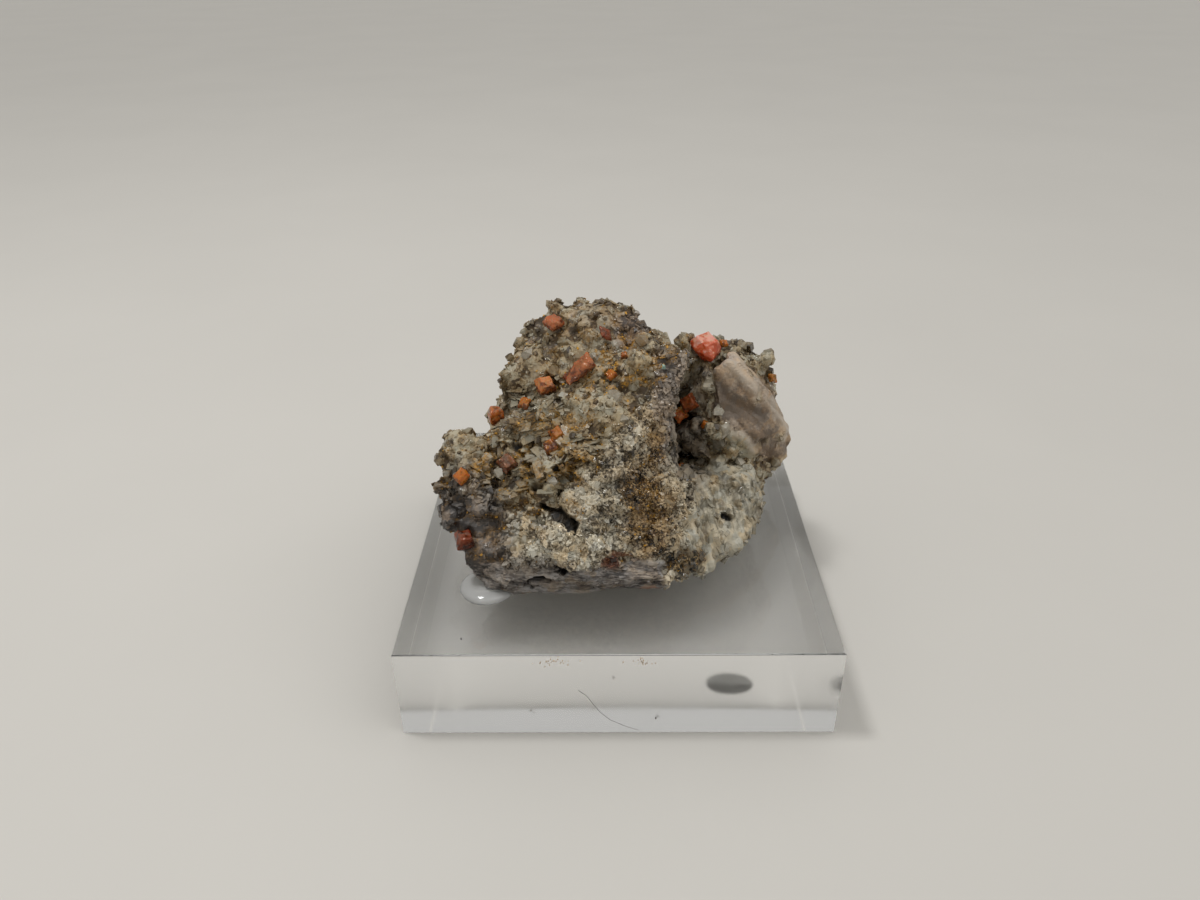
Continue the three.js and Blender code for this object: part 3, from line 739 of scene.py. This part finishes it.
def stoneMaterial(name, clear=0.0, spread=0.35, shine=(0.3, 0.65)):
    shader = Shader(name)
    grey = (0.5, 0.5, 0.5)
    fine = shader.noise(0.45, 5, 0.7)
    patch = shader.noise(2.6, 3, 0.6)
    strokes = shader.strokes(0.2, 1.5, 3.5)
    mosaic, hue = shader.mosaic(1.1, 1.2)
    calm = shader.math("MULTIPLY", shader.value("druse"), 0.4)
    strokes = shader.blend(calm, strokes, grey)
    grain = shader.blend(calm, fine, grey)
    for region, (axis, size, contrast) in grainAxes.items():
        lines = shader.noise(size, 3, 0.6, shader.drawnOut(axis, 7))
        lines = shader.math("MULTIPLY_ADD", lines, contrast, extra=0.5 - 0.5 * contrast, clamp=True)
        strokes = shader.blend(shader.value(region), strokes, lines)
        mosaic = shader.blend(shader.value(region), mosaic, grey)
    made = {"grain": grain, "patch": patch, "strokes": strokes, "mosaic": mosaic}
    weights = dict(toneWeights, luck=spread)
    tone = 0.5 - 0.5 * sum(weights.values())
    for part, weight in weights.items():
        source = made[part] if part in made else shader.value(part)
        tone = shader.math("MULTIPLY_ADD", source, weight, extra=tone)
    colour = None
    for region, colours in stoneColours.items():
        tinted = shader.ramp(tone, list(zip(toneStops, colours)))
        colour = tinted if colour is None else shader.blend(shader.value(region), colour, tinted)
    hue = shader.math("MULTIPLY", hue, 0.4)
    warmth = shader.math("MULTIPLY_ADD", shader.noise(1.7, 3, 0.6), 0.6, extra=hue)
    warmth = shader.ramp(warmth, list(zip(warmthStops, warmths)))
    colour = shader.blend(1.0, colour, warmth, "MULTIPLY")
    # painted highlight along the great crystal's ridge
    ridge = shader.math("MULTIPLY", shader.value("ridge"), shader.value("smooth"))
    colour = shader.blend(shader.math("MULTIPLY", ridge, patch), colour, ridgeHighlightColour)
    dust = shader.math("MULTIPLY_ADD", fine, 4.0, extra=-1.7, clamp=True)
    dust = shader.math("MULTIPLY", dust, shader.value("dust"))
    dust = shader.math("MULTIPLY", dust, 1.6, clamp=True)
    colour = shader.blend(dust, colour, shader.between(shader.noise(0.8), *dustColour))
    gloss = shader.between(shader.cells(0.6), *shine, 0.2, 0.8)
    normal = shader.bump(strokes, 0.45, 0.07, shader.bump(fine, 0.4, 0.15))
    return shader.set(
        Base_Color=colour, Roughness=gloss, Normal=normal, IOR=quartzIor, Transmission_Weight=clear,
    )


# Grains and crystals that cover the stone
def pointShape(radius, length, shoulder, random, sink=0.0):
    corners = []
    for k in range(6):
        angle = k * math.pi / 3
        reach = radius * random.uniform(0.8, 1.15)
        x, y = reach * math.cos(angle), reach * math.sin(angle)
        corners.append((x, y, -0.7 * length - sink))
        corners.append((x, y, length * (shoulder + random.uniform(-0.15, 0.15)) - sink))
    tip = [radius * random.uniform(-0.35, 0.35) for _ in range(2)]
    corners.append((*tip, length - sink))
    return corners


def bladeShape(long, wide, thick, random):
    signs = [(sx, sy, sz) for sx in (-1, 1) for sy in (-1, 1) for sz in (-1, 1)]
    return [tuple(np.multiply(sign, (long, wide, thick)) * random.uniform(0.25, 0.55, 3)) for sign in signs]


def shapeBox(name, shapes):
    box = bpy.data.collections.new(name)
    bpy.context.scene.collection.children.link(box)
    for k, corners in enumerate(shapes):
        mesh = hullMesh(f"{name}{k}", corners)
        upward = placesOf(mesh)[:, 2]
        # painted shade: each grain is darker at its foot and paler at its tip
        keepValues(mesh, "rise", ease((upward - upward.min()) / np.ptp(upward)))
        box.objects.link(bpy.data.objects.new(f"{name}{k}", mesh))
    return box


patchSize = 2.4  # crystals lie alike over about this many millimetres


def scatterTree():
    tree = bpy.data.node_groups.new("scatterOverStone", "GeometryNodeTree")
    tree.interface.new_socket(name="Geometry", in_out="OUTPUT", socket_type="NodeSocketGeometry")
    for name, kind in (
        ("Geometry", "Geometry"), ("Shapes", "Collection"), ("Where", "String"), ("Spacing", "Float"),
        ("Density", "Float"), ("Smallest", "Float"), ("Largest", "Float"), ("Lean", "Float"),
        ("Drift", "Float"), ("Upright", "Float"), ("Seed", "Int"), ("Material", "Material"),
    ):
        tree.interface.new_socket(name=name, in_out="INPUT", socket_type="NodeSocket" + kind)
    given = tree.nodes.new("NodeGroupInput").outputs

    def out(kind, feeds=(), socket=0, **values):  # an output of a new node
        return addNode(tree, kind, feeds, **values).outputs[socket]

    def random(kind, low, high, shift):
        first, socket = {"FLOAT_VECTOR": (0, 0), "FLOAT": (2, 1)}[kind]
        seed = out("FunctionNodeIntegerMath", {0: given["Seed"], 1: shift}, operation="ADD")
        feeds = {first: low, first + 1: high, "Seed": seed}
        return out("FunctionNodeRandomValue", feeds, socket, data_type=kind)

    def attribute(name):
        return out("GeometryNodeInputNamedAttribute", {"Name": name}, "Attribute", data_type="FLOAT")

    def vector(operation, feeds):
        return out("ShaderNodeVectorMath", feeds, operation=operation)

    # points over the region, clear of gaps and wulfenite
    share = out("ShaderNodeMath", {0: attribute(given["Where"]), 1: attribute("open")}, operation="MULTIPLY")
    spread = addNode(tree, "GeometryNodeDistributePointsOnFaces", {
        "Mesh": given["Geometry"], "Distance Min": given["Spacing"], "Density Max": given["Density"],
        "Density Factor": share, "Seed": given["Seed"],
    }, distribute_method="POISSON").outputs
    points = out("GeometryNodeStoreNamedAttribute", {
        "Geometry": spread["Points"], "Name": "luck", "Value": random("FLOAT", 0.0, 1.0, 11),
    }, data_type="FLOAT", domain="POINT")

    # each grain leans and turns by chance, and drifts alike within a patch
    lean = vector("SCALE", {0: random("FLOAT_VECTOR", (-1, -1, -9), (1, 1, 9), 23), "Scale": given["Lean"]})
    place = out("GeometryNodeInputPosition")
    patch = out("ShaderNodeTexVoronoi", {"Vector": place, "Scale": 1 / (patchSize * mm)}, "Color")
    centred = vector("MULTIPLY_ADD", {0: patch, 1: (2, 2, 12), 2: (-1, -1, -6)})
    drift = vector("SCALE", {0: centred, "Scale": given["Drift"]})
    turn = out("FunctionNodeEulerToRotation", {0: vector("ADD", {0: lean, 1: drift})})
    upright = out("FunctionNodeAlignRotationToVector", {
        "Rotation": spread["Rotation"], "Factor": given["Upright"], "Vector": (0, 0, 1),
    }, axis="Z")
    stand = out("FunctionNodeRotateRotation", {0: upright, 1: turn}, rotation_space="LOCAL")

    shapes = out("GeometryNodeCollectionInfo", {
        "Collection": given["Shapes"], "Separate Children": True, "Reset Children": True,
    })
    grains = out("GeometryNodeInstanceOnPoints", {
        "Points": points, "Instance": shapes, "Pick Instance": True, "Rotation": stand,
        "Scale": random("FLOAT", given["Smallest"], given["Largest"], 37),
    })
    real = out("GeometryNodeRealizeInstances", {0: grains})
    coated = out("GeometryNodeSetMaterial", {"Geometry": real, "Material": given["Material"]})
    addNode(tree, "NodeGroupOutput", {0: coated})
    return tree


def scattered(name, stone, shapes, settings, material):
    tree = bpy.data.node_groups.get("scatterOverStone") or scatterTree()
    box = shapeBox(name + "Shape", shapes)
    piece = newPiece(name, stone.data)
    spread = piece.modifiers.new("scatter", "NODES")
    spread.node_group = tree
    given = {
        "Shapes": box, "Where": settings["where"], "Spacing": settings["spacing"] * mm,
        "Density": settings["density"] / mm**2, "Smallest": settings["sizes"][0],
        "Largest": settings["sizes"][1], "Lean": settings["lean"], "Drift": settings.get("drift", 0.0),
        "Upright": settings.get("upright", 0.0), "Seed": settings["seed"], "Material": material,
    }
    for item in tree.interface.items_tree:
        if item.in_out == "INPUT" and item.name in given:
            spread[item.identifier] = given[item.name]
    baked(piece)
    piece.data.materials.clear()  # without the empty slot that the stone's mesh brings along
    piece.data.materials.append(material)
    for shape in list(box.objects):
        bpy.data.objects.remove(shape)
    bpy.data.collections.remove(box)
    addedToRoot(piece, "grey_quartz")
    return piece


growthSeed = 12
growthSettings = {  # where, how many for each square millimetre, least and greatest scale, shape and finish
    "bluntCrystals": {
        "where": "druse", "spacing": 1.8, "density": 0.45, "sizes": (0.45, 0.95),
        "lean": 0.4, "drift": 0.5, "seed": 3,
        "point": {"radius": 0.95, "length": 0.5, "longer": 0.12, "shoulder": 0.35, "sink": 0.3}, "shapes": 6,
        "quartz": {"name": "bluntQuartz", "clear": 0.4, "spread": 0.25, "shine": (0.04, 0.22)},
    },
    "druse": {
        "where": "druse", "spacing": 0.8, "density": 1.0, "sizes": (0.25, 0.6),
        "lean": 0.4, "drift": 0.5, "seed": 4,
        "point": {"radius": 0.8, "length": 0.5, "longer": 0.15, "shoulder": 0.25, "sink": 0.15}, "shapes": 5,
        "quartz": {"name": "druseQuartz", "clear": 0.25, "spread": 0.35, "shine": (0.08, 0.35)},
    },
    "fibres": {
        "where": "druse", "spacing": 0.5, "density": 1.6, "sizes": (0.4, 1.2),
        "lean": 0.05, "drift": 0.3, "seed": 5, "blade": (0.9, 0.42, 0.26), "shapes": 8,
        "quartz": {"name": "fibrousQuartz", "clear": 0.15, "spread": 0.35, "shine": (0.08, 0.4)},
    },
    "plates": {
        "where": "ledge", "spacing": 0.7, "density": 2.4, "sizes": (0.4, 1.2),
        "lean": 0.06, "drift": 0.6, "upright": 0.7, "seed": 6, "blade": (2.4, 1.2, 0.18), "shapes": 6,
        "quartz": {"name": "plateQuartz", "clear": 0.3, "spread": 0.16, "shine": (0.15, 0.4)},
    },
    "chips": {
        "where": "flakes", "spacing": 0.42, "density": 4.0, "sizes": (0.25, 1.1),
        "lean": 0.8, "seed": 8, "blade": (1.0, 0.65, 0.55), "shapes": 8,
        "quartz": {"name": "brokenQuartz", "clear": 0.2, "spread": 0.32, "shine": (0.06, 0.35)},
    },
    "crumbs": {
        "where": "broken", "spacing": 0.22, "density": 10.0, "sizes": (0.15, 0.6),
        "lean": 1.0, "seed": 9, "like": "chips", "shapes": 8,
        "quartz": {"name": "crumbQuartz", "clear": 0.1, "spread": 0.45, "shine": (0.08, 0.4)},
    },
    "sugar": {
        "where": "sugar", "spacing": 0.32, "density": 7.5, "sizes": (0.25, 1.0),
        "lean": 0.9, "seed": 14, "like": "chips", "shapes": 8,
        "quartz": {"name": "sugaryQuartz", "clear": 0.2, "spread": 0.35, "shine": (0.1, 0.4)},
    },
    "layers": {
        "where": "strip", "spacing": 0.4, "density": 2.5, "sizes": (0.2, 0.6),
        "lean": 0.1, "upright": 1.0, "seed": 17, "blade": (1.9, 0.8, 0.14), "shapes": 6,
        "quartz": {"name": "layeredQuartz", "clear": 0.1, "spread": 0.3, "shine": (0.15, 0.45)},
    },
    "paleFlakes": {
        "where": "pale", "spacing": 0.8, "density": 0.7, "sizes": (0.3, 1.1),
        "lean": 0.5, "seed": 16, "blade": (1.3, 0.8, 0.5), "shapes": 6,
        "quartz": {"name": "paleQuartz", "clear": 0.35, "spread": 0.3, "shine": (0.04, 0.3)},
    },
    "rustNeedles": {
        "where": "rust", "spacing": 0.16, "density": 22.0, "sizes": (0.5, 1.2),
        "lean": 0.6, "seed": 18, "blade": (0.6, 0.12, 0.12), "shapes": 4,
        "iron": {
            "patch": 1.2, "luckShare": 0.6, "rough": 0.4,
            "stops": [(0.3, (0.01, 0.007, 0.004)), (0.55, (0.11, 0.06, 0.022)), (0.8, (0.48, 0.34, 0.17))],
        },
    },
    "ochreSpecks": {
        "where": "dust", "spacing": 0.2, "density": 9.0, "sizes": (0.1, 0.42),
        "lean": 1.5, "seed": 21, "like": "chips", "shapes": 3,
        "iron": {
            "patch": 0.4, "luckShare": 0.5, "rough": 0.45,
            "stops": [(0.3, (0.12, 0.065, 0.02)), (0.5, (0.4, 0.21, 0.04)), (0.8, (0.72, 0.37, 0.03))],
        },
    },
}


def ironMaterial(name, patch, luckShare, rough, stops):
    shader = Shader(name)
    luck = shader.math("MULTIPLY", shader.value("luck"), luckShare)
    tone = shader.math("MULTIPLY_ADD", shader.noise(patch), 0.5, extra=luck)
    return shader.set(Base_Color=shader.ramp(tone, stops), Roughness=rough)


def growthShapes(settings, random):
    if "blade" in settings:
        return [bladeShape(*settings["blade"], random) for _ in range(settings["shapes"])]
    point = settings["point"]
    radius, shoulder, sink = point["radius"], point["shoulder"], point["sink"]
    lengths = [point["length"] + point["longer"] * k for k in range(settings["shapes"])]
    return [pointShape(radius, length, shoulder, random, sink) for length in lengths]


def makeGrowth(stone):
    random = np.random.default_rng(growthSeed)
    made = {}
    for name, settings in growthSettings.items():
        if "like" in settings:
            made[name] = made[settings["like"]][:settings["shapes"]]
        else:
            made[name] = growthShapes(settings, random)
        if "iron" in settings:
            material = ironMaterial(name, **settings["iron"])
        else:
            material = stoneMaterial(**settings["quartz"])
        scattered(name, stone, made[name], settings, material)
    print("stage grains over the stone")


clearSettings = {
    "tint": ((0.55, 0.48, 0.36), (0.88, 0.82, 0.68)),
    "clear": 0.6,
    "width": 0.6,
    "shoulder": 0.4,
    "crystals": [  # foot, direction and size
        ((-4, 3.9, 35.2), (0.2, -0.5, 0.8), 1.7), ((-2.6, 2.6, 35), (0.5, -0.4, 0.7), 1.2),
        ((-0.3, -2.7, 32.2), (0.3, -0.6, 0.6), 1.7), ((-0.5, -3.7, 30.7), (0.1, -0.8, 0.5), 1.8),
        ((0.8, -4.6, 30.4), (0.5, -0.8, 0.3), 1.3), ((14.2, 4, 24.4), (-0.3, -0.8, -0.4), 2),
        ((14, 5, 21.9), (-0.2, -0.9, 0.2), 2), ((16.3, 3.2, 19.6), (0.1, -0.9, 0.3), 1.2),
        ((13.4, 4.6, 26.4), (-0.5, -0.8, -0.2), 1.2), ((-11, 4.6, 34.4), (-0.3, -0.5, 0.8), 1.5),
        ((-7.6, -9.4, 24.6), (-0.2, -0.7, 0.6), 1.2), ((-14, -7.6, 24.6), (-0.3, -0.6, 0.7), 1.2),
    ],
    "seed": 44,
}


def makeClearCrystals(settings):
    random = np.random.default_rng(settings["seed"])
    work = bmesh.new()
    for foot, direction, size in settings["crystals"]:
        turn = Vector(direction).to_track_quat("Z", "Y").to_matrix()
        shape = pointShape(settings["width"] * size, size, settings["shoulder"], random)
        addHull(work, [turn @ Vector(corner) + Vector(foot) for corner in shape])
    mesh = meshFrom("clearCrystals", work)
    shader = Shader("clearQuartz")
    colour = shader.between(shader.noise(0.8, 4, 0.6), *settings["tint"])
    gloss = shader.between(shader.cells(0.7), 0.02, 0.2, 0.2, 0.8)
    normal = shader.bump(shader.strokes(0.25, 1.2, 3), 0.25, 0.05)
    mesh.materials.append(shader.set(
        Base_Color=colour, Roughness=gloss, Normal=normal, IOR=quartzIor,
        Transmission_Weight=settings["clear"],
    ))
    addedToRoot(newPiece("clearCrystals", mesh), "grey_quartz")


mintSettings = {
    "place": (5.7, -0.7, 35.3),
    "size": 0.5,
    "colours": ((0.19, 0.29, 0.24), (0.36, 0.5, 0.42)),
    "seed": 47,
}


def makeMintSpeck(settings):  # one small green grain beside the hollow
    random = np.random.default_rng(settings["seed"])
    size = settings["size"]
    mesh = hullMesh("mintSpeck", np.add(bladeShape(size, size, size, random), settings["place"]))
    shader = Shader("mintGrain")
    colour = shader.between(shader.noise(0.3), *settings["colours"])
    mesh.materials.append(shader.set(Base_Color=colour, Roughness=0.3))
    addedToRoot(newPiece("mintSpeck", mesh), "grey_quartz")


# Wulfenite
wulfeniteSettings = {
    "voxel": 0.1,
    "stepSize": 0.8,
    "rippleSize": 0.5,
    "rippleShare": 0.4,
    "wear": 0.22,
    "wearShare": (1.0, 0.4),  # of the dull crystals and of the bright one
    "lustre": (1.65, 1.9),  # their refraction
    "riseShare": (0.3, 0.8),  # how much paler their upper parts are, painted light on their tops
    "seed": 31,
}
wulfeniteColours = {  # the darker and the lighter colour of each crystal, and for one the palest, a painted highlight on its top
    "crest": ((0.17, 0.042, 0.018), (0.42, 0.135, 0.05)),
    "crest_plate": ((0.1, 0.018, 0.006), (0.22, 0.046, 0.012)),
    "row_long": ((0.13, 0.036, 0.015), (0.4, 0.135, 0.05)),
    "row_block": ((0.18, 0.052, 0.018), (0.5, 0.185, 0.05)),
    "row_lozenge": ((0.14, 0.04, 0.006), (0.4, 0.135, 0.012)),
    "edge_block": ((0.14, 0.032, 0.006), (0.42, 0.12, 0.016)),
    "middle_pair": ((0.09, 0.022, 0.008), (0.38, 0.13, 0.016)),
    "knob": ((0.16, 0.04, 0.006), (0.42, 0.125, 0.012)),
    # recess: partly its own deep red and partly darkened as painted shade of the recess it sits in
    "recess": ((0.045, 0.005, 0.001), (0.18, 0.027, 0.004)),
    "slab_brown": ((0.09, 0.034, 0.016), (0.22, 0.09, 0.04)),
    # lobe_great's palest colour is a painted pinkish-white highlight on its top
    "lobe_great": ((0.52, 0.06, 0.01), (0.64, 0.12, 0.04), (0.84, 0.43, 0.33)),
    # hollow_bright's colours are raised as painted light, for the light that falls on it in the hollow
    "hollow_bright": ((0.75, 0.19, 0.05), (1.0, 0.37, 0.1)),
    "hollow_dark": ((0.14, 0.032, 0.009), (0.3, 0.075, 0.018)),
    "lobe_amber": ((0.22, 0.09, 0.016), (0.46, 0.2, 0.035)),
}
brightCrystal = "lobe_great"
wholeCrystals = ("row_long", brightCrystal)  # grown as one form without a notch
plainWulfenite = ((0.15, 0.04, 0.005), (0.42, 0.13, 0.01))


def wulfeniteMaterial(name, colours, lustre, riseShare):
    shader = Shader(name)
    dark, light = colours[:2]
    # the top of each crystal is painted paler, up to a painted highlight colour
    topHighlight = colours[2] if len(colours) > 2 else tuple(min(1, c * 1.25) for c in light)
    mottle = shader.math("MULTIPLY_ADD", shader.noise(0.9, 3, 0.55), 1.5, extra=-0.05 - 0.65 * riseShare)
    tone = shader.math("MULTIPLY_ADD", shader.value("rise"), riseShare, extra=mottle)
    tone = shader.math("ADD", tone, shader.math("MULTIPLY_ADD", shader.cells(0.5), 0.24, extra=-0.12))
    colour = shader.ramp(tone, [(0.5, dark), (0.7, light), (0.9, topHighlight)])
    normal = shader.bump(shader.noise(0.3, 3, 0.6), 0.3, 0.08)
    shine = shader.between(shader.noise(0.7), 0.05, 0.25)
    return shader.set(
        Base_Color=colour, Roughness=shine, IOR=lustre, Normal=normal, Transmission_Weight=0.2,
        Specular_Tint=(1.0, 0.75, 0.6), Subsurface_Weight=0.6, Subsurface_Scale=0.5 * mm,
    )


def makeWulfenite(settings):
    outer = []
    for node in sorted(nodes):
        if not node.startswith("wulfenite_"):
            continue
        name = node.removeprefix("wulfenite_")
        piece = newPiece("crystal_" + name, nodeMesh(node))
        if name in wholeCrystals:
            piece.data = hullMesh(name, placesOf(piece.data))
        remeshed(piece, settings["voxel"])
        places = placesOf(piece.data)
        steps = crystals(places, settings["stepSize"], settings["seed"])[0]
        steps = steps + settings["rippleShare"] * waves(places, settings["rippleSize"], settings["seed"] + 1)
        upward = places[:, 2]
        # painted light: the upper part of each crystal is paler
        keepValues(piece.data, "rise", (upward - upward.min()) / np.ptp(upward))
        bright = int(name == brightCrystal)
        wear = settings["wear"] * settings["wearShare"][bright]
        movePlaces(piece.data, places + facingOf(piece.data) * wear * steps[:, None])
        colours = wulfeniteColours.get(name, plainWulfenite)
        lustre, riseShare = settings["lustre"][bright], settings["riseShare"][bright]
        piece.data.materials.append(wulfeniteMaterial("wulfenite_" + name, colours, lustre, riseShare))
        addedToRoot(piece, "wulfenite", node)
        outer.append(placesOf(piece.data))
    return np.concatenate(outer)


# The clear block and the glue
blockSettings = {
    "side": 50.0,
    "thick": 12.0,
    "edge": 0.12,
    "ior": 1.49,
    "tint": (0.995, 1.0, 1.0),
    "scuff": (0.0, 0.012),
    "satin": (0.07, 0.16),
    "glueHaze": (0.0, 0.2),
    "glueFoot": 0.1,  # points of the glue this close to the block go down by the sink: no air under it
    "glueSink": 0.1,
    "glueClear": {"glue_dot_front": 0.6, "glue_dot_back": 0.5},
    "glueTint": (0.9, 0.9, 0.88),
}


def clearMaterial(name, tint, scuffs, clear, ior):
    shader = Shader(name)
    scuff = shader.between(shader.noise(7.0), *scuffs, 0.3, 0.75)
    return shader.set(Base_Color=tint, Roughness=scuff, IOR=ior, Transmission_Weight=clear)


def blockCorners(settings):
    half, top, cut = settings["side"] / 2, settings["thick"], settings["edge"]
    outline = [(-1, -1), (1, -1), (1, 1), (-1, 1)]
    levels = [(half, 0), (half, top - cut), (half - cut, top)]
    return [(sx * reach, sy * reach, z) for reach, z in levels for sx, sy in outline]


def makeBlock(settings):
    block = newPiece("clearBlock", hullMesh("clearBlock", blockCorners(settings)))
    tint, ior = settings["tint"], settings["ior"]
    block.data.materials.append(clearMaterial("clearAcrylic", tint, settings["scuff"], 1.0, ior))
    block.data.materials.append(clearMaterial("satinAcrylic", tint, settings["satin"], 1.0, ior))
    for face in block.data.polygons:
        face.material_index = int(abs(face.normal.z) < 0.5)
    addedToRoot(block, "clear_acrylic", "acrylic_base")
    for name, clear in settings["glueClear"].items():
        glue = clearMaterial(name, settings["glueTint"], settings["glueHaze"], clear, ior)
        dot = newPiece(name.replace("glue_dot", "glue"), nodeMesh(name))
        places = placesOf(dot.data)
        places[places[:, 2] < settings["thick"] + settings["glueFoot"], 2] -= settings["glueSink"]
        movePlaces(dot.data, places)
        dot.data.shade_smooth()
        dot.data.materials.append(glue)
        addedToRoot(dot, "clear_glue", name)


# Dust and a fibre on the block, as in the photo
dirtSettings = {
    "patches": [((-7, 11.1), (2.2, 0.6), 34), ((2.2, 11), (1.9, 0.5), 26)],  # centre, reach and count
    "grain": 0.13,
    "grainSpread": (0.4, 1.2),
    "standOff": 0.03,
    "belowTop": 0.2,
    "specks": [(-17.6, -22.4, 12.05), (4.3, -25.04, 2.3)],
    "speckSize": 1.7,
    "fibre": [(-4.5, 6.7), (-3.6, 5.9), (-2.9, 4.6), (-2.1, 3.3), (-0.9, 2), (0.8, 1), (2.4, 0.3)],
    "fibreRadius": 0.022,
    "colours": {  # coat 0 and coat 1
        "brownDust": ((0.45, 0.33, 0.22), (0.68, 0.53, 0.38)),
        "greyFibre": ((0.1, 0.09, 0.085), (0.24, 0.22, 0.21)),
    },
    "seed": 52,
}


def makeDirt(settings):
    random = np.random.default_rng(settings["seed"])
    front = -0.5 * blockSettings["side"] - settings["standOff"]
    highest = blockSettings["thick"] - settings["belowTop"]
    grains = [(place, settings["speckSize"], 1) for place in settings["specks"]]
    for centre, reach, count in settings["patches"]:
        for _ in range(count):
            x, z = np.add(centre, random.normal(size=2) * np.multiply(reach, 0.5))
            grains.append(((x, front, min(z, highest)), random.uniform(*settings["grainSpread"]), 0))
    work = bmesh.new()
    for place, size, coat in grains:
        shape = np.multiply(bladeShape(1, 1, 1, random), size * settings["grain"])
        addHull(work, np.add(shape, place), coat)
    rings = []
    for x, z in settings["fibre"]:
        ring = []
        for k in range(4):
            angle = k * math.pi / 2
            dx, dy = settings["fibreRadius"] * math.cos(angle), settings["fibreRadius"] * math.sin(angle)
            ring.append(work.verts.new(Vector((x + dx, front + dy, z + dx)) * mm))
        rings.append(ring)
    skin = [rings[0], rings[-1][::-1]]
    for low, high in zip(rings, rings[1:]):
        skin += [(low[k], low[k - 1], high[k - 1], high[k]) for k in range(4)]
    for corners in skin:
        work.faces.new(corners).material_index = 1
    bmesh.ops.recalc_face_normals(work, faces=work.faces)
    mesh = meshFrom("blockDust", work)
    for name, colours in settings["colours"].items():
        shader = Shader(name)
        colour = shader.between(shader.noise(0.6), *colours)
        mesh.materials.append(shader.set(Base_Color=colour, Roughness=0.7))
    addedToRoot(newPiece("blockDust", mesh), "grey_quartz")


makeCamera(viewSettings)
makeStudio(lightSettings)
crystalPoints = makeWulfenite(wulfeniteSettings)
stone = makeStone(stoneSettings, crystalPoints)
makeGrowth(stone)
makeClearCrystals(clearSettings)
makeMintSpeck(mintSettings)
makeBlock(blockSettings)
makeDirt(dirtSettings)
